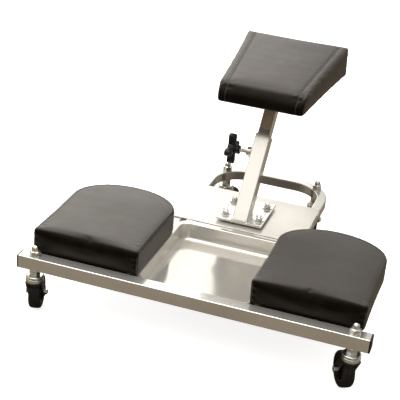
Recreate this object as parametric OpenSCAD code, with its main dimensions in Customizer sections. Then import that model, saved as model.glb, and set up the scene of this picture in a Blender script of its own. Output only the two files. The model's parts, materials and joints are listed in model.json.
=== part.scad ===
// Kneeling creeper seat: a rolling frame with two knee pads, a tool tray and a wedge seat on a leaning post.
// Millimetres, +Z up. The origin is on the floor, under the middle of the object's outer box.
// The user kneels facing -Y, with the front rail across the front and the seat behind.

/* [Front rail] */
// Length of the front rail without its end caps
rail_l = 636; // [600:1:700]
// Side of the square rail tube
rail_w = 25.4; // [24:0.1:30]
// Wall of the rail tube
rail_wall = 1.6; // [1.2:0.1:2.5]
// Height of the rail's underside above the floor
rail_rise = 93; // [91:1:105]
// Distance from the rail's end to the caster stem
stem_inset = 27; // [22:1:40]
// Thickness of an end cap's flange
cap_t = 3; // [1:0.5:4]
// How far an end cap reaches into the rail
cap_plug = 12; // [6:1:20]

/* [Rear loop] */
// Side of the square loop tube
loop_tube = 20; // [18:0.5:24]
// Wall of the loop tube
loop_wall = 1.5; // [1.2:0.1:2.5]
// Outer width over the loop's two arms
loop_w = 259; // [250:1:280]
// Distance from the rail's front face to the loop's rear face
loop_l = 580; // [566:1:620]
// Radius of the bends along the tube's middle
loop_bend = 70; // [55:1:80]

/* [Tool tray] */
// Inside width of the tray at its rim
tray_w = 202; // [190:1:206]
// Inside length of the tray at its rim
tray_l = 240; // [200:1:246]
// Depth of the tray floor below its rim
tray_depth = 31; // [15:1:45]
// Thickness of the tray sheet
tray_sheet = 1.2; // [0.8:0.1:2]
// Width of the rim that rests on the loop's arms
tray_flange = 8; // [6:0.5:12]
// How far the tray's walls lean in from rim to floor
tray_lean = 3; // [0:0.5:8]
// Radius where the walls meet the floor
tray_fillet = 8; // [3:0.5:12]
// Radius of the tray's upright corners
tray_corner = 20; // [14:1:40]

/* [Rear plate] */
// Thickness of the rear plate
plate_t = 2.5; // [2:0.5:5]
// Distance from the rail's front face to the plate's front edge
plate_start = 285; // [283:1:295]
// Length of the rear plate
plate_l = 165; // [145:1:180]

/* [Knee pads] */
// Width of a knee pad
pad_w = 202; // [180:1:204]
// Length of a pad's straight sides
pad_side = 177; // [150:1:180]
// Length of the pad's curved rear end
pad_arc = 75; // [50:1:78]
// Height of a pad's edge above the carrier
pad_h = 46; // [35:1:60]
// Rise of the pad's crown above its edge
pad_crown = 7; // [2:0.5:12]
// How far the pad's straight sides draw in between the corners
pad_draw = 2; // [0:0.5:4]
// Radius of the pad's front corners
pad_corner = 9; // [6:1:25]
// Radius of the pad's rounded top edge
pad_round = 12; // [6:1:16]
// Distance between the two pads
pad_gap = 203.6; // [200:0.1:230]
// Thickness of a pad's board
board_t = 9; // [6:1:15]
// How far a board stays inside its cushion's outline
board_inset = 7; // [5:0.5:12]
// Thickness of the pressed sheet that carries a pad
carrier_t = 2; // [1.5:0.5:4]
// Depth of the carrier's turned-down edges
carrier_lip = 14; // [8:1:20]
// Diameter of the pad and seat screws
screw_d = 6; // [4:0.5:7]

/* [Post base] */
// Width of the post's base plate
base_w = 92; // [88:1:110]
// Length of the post's base plate
base_l = 109; // [105:1:125]
// Thickness of the base plate
base_t = 4; // [3:0.5:8]
// Distance from the rear plate's front edge to the base plate
base_setback = 18; // [10:1:24]
// Spacing of the base bolts across the plate
bolt_dx = 68; // [66:1:72]
// Spacing of the base bolts along the plate
bolt_dy = 61; // [58:1:66]
// Distance from the base plate's front edge to its front bolts
bolt_inset = 25; // [20:1:28]
// Diameter of the base bolts
bolt_d = 8; // [6:0.5:9]
// Diameter of the rubber bushings
bushing_d = 15; // [14:0.5:18]
// Height of the rubber bushings
bushing_h = 4; // [3:0.5:12]

/* [Seat post] */
// Lean of the post from upright, towards the rear
lean = 40; // [36:1:44]
// Side of the square outer tube
outer_w = 30; // [29.5:0.1:34]
// Wall of the outer tube
outer_wall = 2; // [1.5:0.1:2.2]
// Length of the outer tube along its axis above the base plate
outer_l = 170; // [150:1:185]
// Distance from the base plate's front edge to the outer tube
post_setback = 5.5; // [3:0.5:12]
// Side of the square inner tube
inner_w = 25; // [22:0.1:25.4]
// Wall of the inner tube
inner_wall = 1.5; // [1.2:0.1:3]
// Distance along the post from the base plate to the inner tube's lower end
inner_start = 67; // [55:1:80]
// Height of the seat board's underside above the floor
seat_rise = 335; // [325:1:380]

/* [Clamp] */
// Distance along the post from the base plate to the clamp screw
clamp_s = 132; // [120:1:138]
// Diameter of the clamp screw
clamp_d = 8; // [6:0.5:10]
// Diameter of the welded threaded boss
boss_d = 22; // [18:1:26]
// Length of the threaded boss
boss_l = 10; // [6:1:16]
// Bare screw between the boss and the knob
clamp_reach = 15; // [8:1:30]
// Width of the cross knob over its arms
knob_d = 64; // [50:1:70]
// Width of one arm of the knob
knob_arm = 12; // [8:1:14]
// Diameter of the lobe at the end of an arm
knob_lobe = 15; // [14.5:0.5:20]
// Thickness of the knob's arms along the screw
knob_t = 15; // [10:1:20]
// Diameter of the knob's hub
knob_hub = 24; // [22:1:28]
// Length of the knob's neck
knob_neck = 10; // [5:1:15]
// Diameter of the knob's neck
knob_neck_d = 18; // [14:1:21]

/* [Seat] */
// Width of the seat at the front
seat_front_w = 168; // [150:1:190]
// Width of the seat at the rear
seat_rear_w = 213; // [190:1:240]
// Length of the seat's top
seat_l = 276; // [260:1:300]
// Thickness of the seat at the front
seat_front_h = 37; // [30:1:50]
// Thickness of the seat at the rear
seat_rear_h = 65; // [55:1:80]
// Rise of the seat's crown
seat_crown = 5; // [2:0.5:10]
// How far the seat's sides draw in between the corners
seat_draw = 2; // [0:0.5:4]
// Radius of the seat's corners in plan
seat_corner = 15; // [10:1:25]
// Radius of the seat's rounded top edge
seat_round = 10; // [6:1:14]
// How far the seat's foot stands out past its top at the sides
seat_flare = 3; // [0:0.5:6]
// How far the seat's foot stands out past its top at the rear
seat_kick = 15; // [0:0.5:18]
// How far the seat's front lies ahead of the post's axis
seat_ahead = 133; // [120:1:150]
// Thickness of the seat board
seat_board_t = 12; // [9:1:18]
// Width of the steel seat bracket
bracket_w = 110; // [100:1:130]
// Length of the steel seat bracket
bracket_l = 120; // [110:1:140]
// Thickness of the seat bracket
bracket_t = 4; // [3:0.5:6]

/* [Casters] */
// Wheel diameter
wheel_d = 64; // [58:1:65]
// Width of the tyre
tyre_w = 22; // [18:0.5:23]
// Radial depth of the tyre
tyre_t = 8; // [5:0.5:10]
// Distance from the swivel axis back to the wheel axle
trail = 24; // [24:0.5:32]
// Diameter of the swivel races
race_d = 33; // [31:0.5:36]
// Diameter of the stem
stem_d = 10; // [8:0.5:12]
// Height of the stem's hexagon under the frame
stem_hex_h = 11.7; // [8:0.1:14]
// Diameter of the wheel axle
axle_d = 6; // [5:0.5:8]
// Clear width between the fork's legs
fork_gap = 26; // [25:0.5:28]
// Thickness of the fork's legs
fork_t = 2.5; // [2:0.5:3]
// Heading of the front left caster, turned from straight back
heading_fl = 15; // [-180:1:180]
// Heading of the front right caster
heading_fr = 28; // [-180:1:180]
// Heading of the rear left caster
heading_rl = -10; // [-180:1:180]
// Heading of the rear right caster
heading_rr = 14; // [-180:1:180]

/* [Hidden] */
$fn = 48;

// Clearances and overrun
cut = 1;                 // overrun of every cut
run_fit = 0.06;          // radial running clearance of a shaft in its hole
bolt_fit = 0.25;         // radial clearance of a bolt in its hole
soft_gap = 0.3;          // clearance round a soft piece
tube_r = 2;              // outer corner radius of the square tubes

// Heights, all from the floor
rail_top = rail_rise + rail_w;
loop_top = rail_rise + loop_tube;
plate_top = loop_top + plate_t;
carrier_top = loop_top + carrier_t;
base_low = plate_top + bushing_h;
base_top = base_low + base_t;
bracket_low = seat_rise - bracket_t;
lower_washer_t = 1.6;
race_top = rail_rise - lower_washer_t - stem_hex_h;

// Caster stack, measured down from the top of the upper race
race_hi_t = 4.2;
race_slit = 0.8;
race_lo_t = 8;
fork_plate_t = 3;
race_low = race_top - race_hi_t - race_slit - race_lo_t;
fork_low = race_low - fork_plate_t;
ball_d = 4;
ball_z = race_top - race_hi_t - race_slit / 2;
ball_ring = race_d / 3;
ball_count = 12;
ball_groove = ball_d / 2 + run_fit;
rivet_r = stem_d * 3 / 4;
rivet_t = 2.5;
axle_z = wheel_d / 2;

// Where things lie along Y, from the rail's front face
seat_axis_s = (bracket_low - base_top) / cos(lean);
base_front_y = plate_start + base_setback;
post_y = base_front_y + post_setback + outer_w / 2 / cos(lean);
seat_axis_y = post_y + seat_axis_s * sin(lean);
seat_front_y = seat_axis_y - seat_ahead;
pad_front_y = rail_w + soft_gap * 4;
pad_x = pad_gap / 2 + pad_w / 2;
tray_front_y = rail_w + tray_flange / 2;
tray_seam = 1;           // gap between the tray's rear flange and the rear plate
tray_side_flange = (loop_w - 2 * loop_tube - tray_w) / 2 + tray_flange / 2;

// Stem places as [x, y from the rail's front face]
bend_x = loop_w / 2 - loop_tube / 2 - loop_bend;
bend_y = loop_l - loop_tube / 2 - loop_bend;
stem_front = [rail_l / 2 - stem_inset, rail_w / 2];
stem_rear = [bend_x + loop_bend * cos(45), bend_y + loop_bend * sin(45)];

// Fasteners
acorn_af = 17;
acorn_hex_h = 8;
acorn_h = 18;
dome_wall = 1.5;
washer_d = 20;
washer_t = 2;
bolt_af = bolt_d * 13 / 8;
bolt_head_h = bolt_d * 2 / 3;
nut_h = bolt_d * 4 / 5;
base_washer_d = bolt_d * 5 / 2;
base_washer_t = 1.6;
screw_head_d = screw_d * 2;
screw_head_h = screw_d * 3 / 5;
axle_af = axle_d * 5 / 3;
axle_head_h = axle_d * 2 / 3;

// Carrier and its screws
carrier_w = pad_w - (loop_w - pad_gap) / 2 - loop_tube / 2 + loop_tube / 10;
carrier_x = loop_w / 2 - loop_tube / 2 + loop_tube / 10;
carrier_l = pad_side + pad_arc / 3;
screw_shares = [[0.25, 0.25], [0.75, 0.25], [0.25, 0.8], [0.75, 0.8]];
seat_screw_dx = bracket_w * 0.72;
seat_screw_dy = bracket_l * 0.72;

// Rings of a pad from its hollow underside over the edge to the crown: [inset, 0 low or 1 high, height]
function pad_rings(round_r, draw, recess, recess_h) = [
    [recess, 0, recess_h], [recess, 0, 0], [round_r / 4, 0, 0], [draw / 2, 0, round_r / 3],
    [0, 0, round_r], [0, 1, -round_r * 1.2],
    for (a = [20 : 20 : 80]) [round_r * (1 - cos(a)), 1, -round_r * (1 - sin(a))],
    [round_r * 1.6, 1, 0], [round_r * 3, 1, 0], [round_r * 5, 1, 0]];

// A stretch of outline between two points, drawn in towards the inside of a counter-clockwise outline
function drawn_side(p, q, draw, n) = let (d = (q - p) / norm(q - p), inward = [-d[1], d[0]])
    [for (i = [1 : n - 1]) p + (q - p) * i / n + inward * draw * sin(180 * i / n)];

function arc_points(c, rx, ry, a0, a1, n) =
    [for (i = [0 : n]) let (a = a0 + (a1 - a0) * i / n) [c[0] + rx * cos(a), c[1] + ry * sin(a)]];

// Plan of a knee pad: straight front and sides, and an elliptical rear end
function knee_plan() = let (h = pad_w / 2, r = pad_corner)
    concat(arc_points([h - r, r], r, r, -90, 0, 4),
           drawn_side([h, r], [h, pad_side], pad_draw, 5),
           arc_points([0, pad_side], h, pad_arc, 0, 180, 18),
           drawn_side([-h, pad_side], [-h, r], pad_draw, 5),
           arc_points([r - h, r], r, r, 180, 270, 4),
           drawn_side([r - h, 0], [h - r, 0], pad_draw, 6));

// Plan of the seat: a trapezium with rounded corners, narrow at the front
function seat_plan() = let (f = seat_front_w / 2, b = seat_rear_w / 2, r = seat_corner, l = seat_l)
    concat(arc_points([f - r, r], r, r, -90, 0, 4),
           drawn_side([f, r], [b, l - r], seat_draw, 6),
           arc_points([b - r, l - r], r, r, 0, 90, 4),
           drawn_side([b - r, l], [r - b, l], seat_draw, 6),
           arc_points([r - b, l - r], r, r, 90, 180, 4),
           drawn_side([-b, l - r], [-f, r], seat_draw, 6),
           arc_points([r - f, r], r, r, 180, 270, 4),
           drawn_side([r - f, 0], [f - r, 0], seat_draw, 6));

// A plan shrunk by an inset about the middle of its box
function shrunk(plan, w, l, inset) =
    [for (p = plan) [p[0] * (1 - 2 * inset / w), l / 2 + (p[1] - l / 2) * (1 - 2 * inset / l)]];

knee_l = pad_side + pad_arc;
knee_rings = [for (r = pad_rings(pad_round, pad_draw, board_inset - soft_gap, board_t + soft_gap))
    let (s = 1 - 2 * r[0] / pad_w)
    [for (p = shrunk(knee_plan(), pad_w, knee_l, r[0]))
        [p[0], p[1], r[2] + r[1] * (pad_h + pad_crown * (1 - s * s))]]];

// The seat's top slopes down to the front, and its foot stands out at the sides and the rear
seat_rings = [for (r = pad_rings(seat_round, seat_draw, board_inset - soft_gap, seat_board_t + soft_gap))
    let (s = 1 - 2 * r[0] / seat_front_w)
    [for (p = shrunk(seat_plan(), seat_front_w, seat_l, r[0]))
        let (t = p[1] / seat_l, h = seat_front_h + (seat_rear_h - seat_front_h) * t,
             z = r[2] + r[1] * (h + seat_crown * (1 - s * s)),
             foot = r[0] < board_inset - soft_gap ? 1 - z / h : 0)
        [p[0] * (1 + 2 * seat_flare * foot / seat_rear_w), p[1] + seat_kick * t * foot, z]]];

// The rail's front face in the part's frame, which has its origin under the middle of the outer box
front_most = rail_w / 2 - race_d / 2;
rear_most = seat_front_y + max([for (r = seat_rings) for (p = r) p[1]]);
front_y = -(rear_most + front_most) / 2;

// Rounded rectangle as points, counter-clockwise
function round_rect(w, l, r, n) = [for (q = [0 : 3]) for (i = [0 : n])
    let (a = 90 * (q + i / n), sx = q == 0 || q == 3 ? 1 : -1, sy = q < 2 ? 1 : -1)
    [sx * (w / 2 - r) + r * cos(a), sy * (l / 2 - r) + r * sin(a)]];

function ring_centre(r) = [for (k = [0 : 2]) [for (p = r) p[k]] * [for (p = r) 1] / len(r)];

// Closed skin over a stack of rings that have equal counts of points
module skin(rings) {
    n = len(rings[0]);
    m = len(rings);
    polyhedron(
        points = concat([for (r = rings) each r], [ring_centre(rings[0]), ring_centre(rings[m - 1])]),
        faces = concat(
            [for (j = [0 : m - 2]) for (i = [0 : n - 1])
                let (a = j * n + i, b = j * n + (i + 1) % n) each [[a, a + n, b], [b, a + n, b + n]]],
            [for (i = [0 : n - 1]) [i, (i + 1) % n, m * n]],
            [for (i = [0 : n - 1]) [m * n + 1, (m - 1) * n + (i + 1) % n, (m - 1) * n + i]]),
        convexity = 8);
}

// Square with round corners, centred, as the section of a tube
module round_square(w, r) {
    square([w, w - 2 * r], center = true);
    square([w - 2 * r, w], center = true);
    for (x = [-1, 1]) for (y = [-1, 1]) translate([x * (w / 2 - r), y * (w / 2 - r)]) circle(r);
}

// Straight square tube along +Z from z0 to z1, with an open bore
module square_tube(w, wall, z0, z1) {
    difference() {
        translate([0, 0, z0]) linear_extrude(z1 - z0) round_square(w, tube_r);
        translate([0, 0, z0 - cut]) linear_extrude(z1 - z0 + 2 * cut) round_square(w - 2 * wall, tube_r / 2);
    }
}

// Moves from the rail's front face on the floor to the part's frame
module from_rail(p) {
    translate([p[0], front_y + p[1], p[2]]) children();
}

// Copies its children at the four stems, from the floor
module at_stems() {
    for (s = [-1, 1]) {
        from_rail([s * stem_front[0], stem_front[1], 0]) children();
        from_rail([s * stem_rear[0], stem_rear[1], 0]) children();
    }
}

// The post's own frame: origin on the base plate, +Z up the leaning tube
module on_post() {
    from_rail([0, post_y, base_top]) rotate([-lean, 0, 0]) children();
}

module hex_nut(af, h) {
    cylinder(d = af / cos(30), h = h, $fn = 6);
}

module ring(r_out, r_in, h) {
    difference() {
        cylinder(r = r_out, h = h);
        translate([0, 0, -cut]) cylinder(r = r_in, h = h + 2 * cut);
    }
}

module front_rail() {
    color("silver") difference() {
        from_rail([0, rail_w / 2, rail_rise + rail_w / 2]) rotate([0, 90, 0])
            square_tube(rail_w, rail_wall, -rail_l / 2, rail_l / 2);
        for (s = [-1, 1]) from_rail([s * stem_front[0], stem_front[1], rail_rise - cut])
            cylinder(r = stem_d / 2 + bolt_fit, h = rail_w + 2 * cut);
    }
}

module rail_end_caps() {
    plug_w = rail_w - 2 * rail_wall - 2 * bolt_fit;
    color("black") for (s = [-1, 1])
        from_rail([s * rail_l / 2, rail_w / 2, rail_rise + rail_w / 2]) rotate([0, s * 90, 0]) {
            linear_extrude(cap_t) round_square(rail_w, tube_r);
            translate([0, 0, -cap_plug]) difference() {
                linear_extrude(cap_plug) round_square(plug_w, tube_r / 2);
                translate([0, 0, -cut]) linear_extrude(cap_plug) round_square(plug_w - 2 * cap_t, tube_r / 2);
            }
        }
}

// The loop's path, swept with a square section: two arms, two bends and the rear bar
module loop_path(w, r, front_end) {
    x = loop_w / 2 - loop_tube / 2;
    for (s = [-1, 1]) {
        translate([s * x, bend_y, 0]) rotate([90, 0, 0])
            linear_extrude(bend_y - front_end) round_square(w, r);
        translate([s * bend_x, bend_y, 0]) rotate([0, 0, s > 0 ? 0 : 90])
            rotate_extrude(angle = 90) translate([loop_bend, 0]) round_square(w, r);
    }
    translate([-bend_x, bend_y + loop_bend, 0]) rotate([90, 0, 90])
        linear_extrude(2 * bend_x) round_square(w, r);
}

module rear_loop() {
    color("silver") difference() {
        from_rail([0, 0, rail_rise + loop_tube / 2]) difference() {
            loop_path(loop_tube, tube_r, rail_w);
            loop_path(loop_tube - 2 * loop_wall, tube_r / 2, rail_w - cut);
        }
        for (s = [-1, 1]) from_rail([s * stem_rear[0], stem_rear[1], rail_rise - cut])
            cylinder(r = stem_d / 2 + bolt_fit, h = loop_tube + 2 * cut);
    }
}

// Pressed tray, as rings from under its floor round the rim to the floor's top: [outset, height]
module tool_tray() {
    t = tray_sheet;
    rf = tray_fillet;
    lip = 2 * t;
    function bowl(out, drop) = [for (a = [0 : 30 : 90]) [out - tray_lean - rf * (1 - sin(a)),
        -tray_depth - drop + rf * (1 - cos(a))]];
    profile = concat(bowl(t, t), [[t, -lip - t]], [[lip, -t], [tray_side_flange, -t],
        [tray_side_flange, 0], [lip, 0], [lip / 4, -lip / 4], [0, -lip - t]],
        [for (k = [3 : -1 : 0]) bowl(0, 0)[k]]);
    front = tray_flange / 2 - bolt_fit;
    back = plate_start - tray_seam - tray_front_y - tray_l;
    function tray_ring(out, z) = let (long = min(out, front), reach = out > lip ? back - long : 0)
        [for (p = round_rect(tray_w + 2 * out, tray_l + 2 * long, max(tray_corner + out, t), 6))
            [p[0], p[1] + (p[1] > 0 ? reach : 0), z]];
    color("silver") from_rail([0, tray_front_y + tray_l / 2, loop_top + t])
        skin([for (q = profile) tray_ring(q[0], q[1])]);
}

// Places of the four base bolts, on the floor
module at_base_bolts() {
    for (x = [-1, 1]) for (y = [0, 1])
        from_rail([x * bolt_dx / 2, base_front_y + bolt_inset + y * bolt_dy, 0]) children();
}

module bolt_holes(low, h) {
    at_base_bolts() translate([0, 0, low - cut]) cylinder(r = bolt_d / 2 + bolt_fit, h = h + 2 * cut);
}

module rear_plate() {
    color("silver") difference() {
        from_rail([-loop_w / 2, plate_start, loop_top]) cube([loop_w, plate_l, plate_t]);
        bolt_holes(loop_top, plate_t);
    }
}

// Places of one pad's four screws
module at_pad_screws(side) {
    for (q = screw_shares)
        from_rail([side * (carrier_x + carrier_w * q[0]), rail_w + carrier_l * q[1], 0]) children();
}

// Pressed sheet with turned-down edges that carries a knee pad between the rail and the loop's arm
module pad_carrier(side) {
    x0 = side > 0 ? carrier_x : -carrier_x - carrier_w;
    lip_x = side > 0 ? x0 + carrier_w - carrier_t : x0;
    inner = loop_w / 2 + bolt_fit;
    lip_start = side > 0 ? inner : x0;
    lip_l = carrier_w + carrier_x - inner;
    color("gray") difference() {
        union() {
            from_rail([x0, rail_w, loop_top]) cube([carrier_w, carrier_l, carrier_t]);
            from_rail([lip_x, rail_w, carrier_top - carrier_lip]) cube([carrier_t, carrier_l, carrier_lip]);
            for (y = [0, carrier_l - carrier_t])
                from_rail([lip_start, rail_w + y, carrier_top - carrier_lip])
                    cube([lip_l, carrier_t, carrier_lip]);
        }
        at_pad_screws(side) translate([0, 0, loop_top - cut])
            cylinder(r = screw_d / 2 + bolt_fit, h = carrier_t + 2 * cut);
    }
}

module left_pad_carrier() {
    pad_carrier(-1);
}

module right_pad_carrier() {
    pad_carrier(1);
}

module pad_board(side) {
    color("burlywood") difference() {
        from_rail([side * pad_x, pad_front_y, carrier_top]) linear_extrude(board_t)
            polygon(shrunk(knee_plan(), pad_w, knee_l, board_inset));
        at_pad_screws(side) translate([0, 0, carrier_top - cut])
            cylinder(r = screw_d / 2 + run_fit, h = board_t + 2 * cut);
    }
}

module left_pad_board() {
    pad_board(-1);
}

module right_pad_board() {
    pad_board(1);
}

module knee_cushion(side) {
    color([0.16, 0.14, 0.13]) from_rail([side * pad_x, pad_front_y, carrier_top]) skin(knee_rings);
}

module left_knee_cushion() {
    knee_cushion(-1);
}

module right_knee_cushion() {
    knee_cushion(1);
}

// Screw with a round low head under z = 0 and its shank above
module round_head_screw(l) {
    translate([0, 0, -screw_head_h]) difference() {
        cylinder(d = screw_head_d, h = screw_head_h);
        translate([0, 0, -cut]) cylinder(d = screw_d * 2 / 3, h = screw_head_h / 2 + cut, $fn = 6);
    }
    cylinder(d = screw_d, h = l);
}

module pad_screws() {
    color("silver") for (s = [-1, 1]) at_pad_screws(s)
        translate([0, 0, loop_top]) round_head_screw(carrier_t + board_t * 0.9);
}

module post_base_plate() {
    color("silver") difference() {
        from_rail([-base_w / 2, base_front_y, base_low]) cube([base_w, base_l, base_t]);
        bolt_holes(base_low, base_t);
    }
}

module rubber_bushings() {
    color([0.08, 0.08, 0.08]) at_base_bolts() translate([0, 0, plate_top])
        ring(bushing_d / 2, bolt_d / 2 + bolt_fit, bushing_h);
}

// Bolts from below, whose ends stand out of the nuts on top
module base_bolts() {
    low = loop_top - base_washer_t - bolt_head_h;
    high = base_top + base_washer_t + nut_h + bolt_d / 4;
    color("gainsboro") at_base_bolts() {
        translate([0, 0, low]) hex_nut(bolt_af, bolt_head_h);
        translate([0, 0, low]) cylinder(d = bolt_d, h = high - low);
    }
}

module base_washers() {
    color("gainsboro") at_base_bolts() {
        for (z = [base_top, loop_top - base_washer_t])
            translate([0, 0, z]) ring(base_washer_d / 2, bolt_d / 2 + bolt_fit, base_washer_t);
    }
}

module base_nuts() {
    color("gainsboro") at_base_bolts() translate([0, 0, base_top + base_washer_t]) difference() {
        hex_nut(bolt_af, nut_h);
        translate([0, 0, -cut]) cylinder(r = bolt_d / 2 + run_fit, h = nut_h + 2 * cut);
    }
}

// The outer tube stands on the base plate with a mitred foot, and has a hole for the clamp
module post_outer_tube() {
    color("silver") difference() {
        on_post() square_tube(outer_w, outer_wall, -outer_w, outer_l);
        from_rail([-outer_w, post_y - 2 * outer_w, base_top - 2 * outer_w])
            cube([2 * outer_w, 4 * outer_w, 2 * outer_w]);
        on_post() translate([-outer_w, 0, clamp_s]) rotate([0, 90, 0])
            cylinder(r = clamp_d / 2 + run_fit, h = outer_w);
    }
}

// The clamp's own frame: origin on the post's axis, +Z out to the left along the screw
module on_clamp() {
    on_post() translate([0, 0, clamp_s]) rotate([0, -90, 0]) children();
}

module clamp_boss() {
    color("silver") on_clamp() translate([0, 0, outer_w / 2])
        ring(boss_d / 2, clamp_d / 2 + run_fit, boss_l);
}

clamp_pad_low = inner_w / 2 + soft_gap / 2;
clamp_pad_top = outer_w / 2;
knob_low = outer_w / 2 + boss_l + clamp_reach;

module clamp_pad() {
    color("white") on_clamp() translate([0, 0, clamp_pad_low])
        cylinder(d = clamp_d, h = clamp_pad_top - clamp_pad_low);
}

module clamp_screw() {
    color("gainsboro") on_clamp() translate([0, 0, clamp_pad_top])
        cylinder(d = clamp_d, h = knob_low + knob_neck + knob_t / 2 - clamp_pad_top);
}

// Outline of the cross: a hub and four arms that end in lobes
module knob_cross() {
    arm_x = (knob_d - knob_lobe) / 2;
    circle(d = knob_hub);
    for (a = [0, 90]) rotate(a - lean) {
        square([2 * arm_x, knob_arm], center = true);
        for (s = [-1, 1]) translate([s * arm_x, 0]) circle(d = knob_lobe);
    }
}

// Cross knob with a neck towards the boss
module clamp_knob() {
    color([0.07, 0.07, 0.07]) on_clamp() translate([0, 0, knob_low]) difference() {
        union() {
            cylinder(d = knob_neck_d, h = knob_neck + knob_t / 2);
            translate([0, 0, knob_neck]) linear_extrude(knob_t) knob_cross();
        }
        translate([0, 0, -cut]) cylinder(d = clamp_d, h = knob_neck + knob_t / 2 + cut);
    }
}

// The inner tube slides in the outer one, and is cut level under the seat bracket
module post_inner_tube() {
    color("silver") difference() {
        on_post() square_tube(inner_w, inner_wall, inner_start, seat_axis_s + inner_w);
        from_rail([-inner_w, seat_axis_y - 2 * inner_w, bracket_low])
            cube([2 * inner_w, 4 * inner_w, 2 * inner_w]);
    }
}

module at_seat_screws() {
    for (x = [-1, 1]) for (y = [-1, 1])
        from_rail([x * seat_screw_dx / 2, seat_axis_y + y * seat_screw_dy / 2, 0]) children();
}

// Steel plate welded on the inner tube, with a rib behind the tube
module seat_bracket() {
    rib = bracket_l / 4;
    rib_y = inner_w / 2 / cos(lean);
    color("gray") difference() {
        union() {
            from_rail([-bracket_w / 2, seat_axis_y - bracket_l / 2, bracket_low])
                cube([bracket_w, bracket_l, bracket_t]);
            from_rail([-bracket_t / 2, seat_axis_y + rib_y, bracket_low]) rotate([90, 0, 90])
                linear_extrude(bracket_t)
                    polygon([[0, 0], [-rib * sin(lean), -rib * cos(lean)], [rib, 0]]);
        }
        at_seat_screws() translate([0, 0, bracket_low - cut])
            cylinder(r = screw_d / 2 + bolt_fit, h = bracket_t + 2 * cut);
    }
}

module seat_board() {
    color("burlywood") difference() {
        from_rail([0, seat_front_y, seat_rise]) linear_extrude(seat_board_t)
            polygon(shrunk(seat_plan(), seat_front_w, seat_l, board_inset));
        at_seat_screws() translate([0, 0, seat_rise - cut])
            cylinder(r = screw_d / 2 + run_fit, h = seat_board_t + 2 * cut);
    }
}

module seat_cushion() {
    color([0.16, 0.14, 0.13]) from_rail([0, seat_front_y, seat_rise]) skin(seat_rings);
}

module seat_screws() {
    color("silver") at_seat_screws()
        translate([0, 0, bracket_low]) round_head_screw(bracket_t + seat_board_t * 0.9);
}

// Acorn nut over the end of a stem that stands on a frame of height h
module acorn_nut() {
    dome_r = stem_d / 2 + dome_wall;
    difference() {
        union() {
            hex_nut(acorn_af, acorn_hex_h);
            cylinder(r = dome_r, h = acorn_h - dome_r);
            translate([0, 0, acorn_h - dome_r]) sphere(dome_r);
        }
        translate([0, 0, -cut]) cylinder(r = stem_d / 2 + run_fit, h = stem_above + cut);
    }
}

stem_above = acorn_h * 2 / 3;

// Copies its children at the four stems, from the top of the frame there
module at_stem_tops() {
    for (s = [-1, 1]) {
        from_rail([s * stem_front[0], stem_front[1], rail_top]) children();
        from_rail([s * stem_rear[0], stem_rear[1], loop_top]) children();
    }
}

module stem_acorn_nuts() {
    color("gainsboro") at_stem_tops() translate([0, 0, washer_t]) acorn_nut();
}

module stem_top_washers() {
    color("gainsboro") at_stem_tops() ring(washer_d / 2, stem_d / 2 + bolt_fit, washer_t);
}

module stem_lower_washers() {
    color("gainsboro") at_stems() translate([0, 0, rail_rise - lower_washer_t])
        ring(washer_d / 2, stem_d / 2 + bolt_fit, lower_washer_t);
}

// Threaded stem with its hexagon and the riveted head that holds the swivel together
module caster_stem(top) {
    low = fork_low - soft_gap - rivet_t;
    translate([0, 0, low]) cylinder(d = stem_d, h = top - low);
    translate([0, 0, low]) cylinder(r = rivet_r, h = rivet_t);
    translate([0, 0, race_top]) hex_nut(acorn_af, stem_hex_h);
}

module caster_stems() {
    color("gainsboro") for (s = [-1, 1]) {
        from_rail([s * stem_front[0], stem_front[1], 0])
            caster_stem(rail_top + washer_t + stem_above - cut);
        from_rail([s * stem_rear[0], stem_rear[1], 0])
            caster_stem(loop_top + washer_t + stem_above - cut);
    }
}

// Upper race: a disc with a round rim and a ball groove, fixed on the stem
module top_race() {
    e = race_hi_t / 2;
    translate([0, 0, race_top - race_hi_t]) rotate_extrude() difference() {
        union() {
            translate([stem_d / 2 + run_fit, 0]) square([race_d / 2 - stem_d / 2 - run_fit - e, race_hi_t]);
            translate([race_d / 2 - e, e]) circle(e);
        }
        translate([ball_ring, -race_slit / 2]) circle(ball_groove);
    }
}

module caster_top_races() {
    color("gainsboro") at_stems() top_race();
}

module swivel_balls() {
    color("gainsboro") at_stems() for (i = [0 : ball_count - 1]) rotate([0, 0, 360 * i / ball_count])
        translate([ball_ring, 0, ball_z]) sphere(d = ball_d, $fn = 24);
}

// Frame of one caster: origin on the floor under the swivel axis, +Y along the trail
module on_caster(c) {
    from_rail([c[0] * (c[1] > 0 ? stem_rear[0] : stem_front[0]), c[1] > 0 ? stem_rear[1] : stem_front[1], 0])
        rotate([0, 0, c[2]]) children();
}

// Side of X, end of Y and heading of each caster
front_left = [-1, 0, heading_fl];
front_right = [1, 0, heading_fr];
rear_left = [-1, 1, heading_rl];
rear_right = [1, 1, heading_rr];

// Lower race: a ring with a round shoulder that turns with the fork
module lower_race(c) {
    r = race_d / 2 - soft_gap;
    e = race_lo_t / 4;
    color("gainsboro") on_caster(c) translate([0, 0, race_low]) rotate_extrude() difference() {
        union() {
            translate([stem_d / 2 + run_fit, 0]) square([r - e - stem_d / 2 - run_fit, race_lo_t]);
            translate([r - 2 * e, e]) square([2 * e, race_lo_t - 2 * e]);
            for (y = [e, race_lo_t - e]) translate([r - e, y]) circle(e);
        }
        translate([ball_ring, race_lo_t + race_slit / 2]) circle(ball_groove);
    }
}

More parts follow.
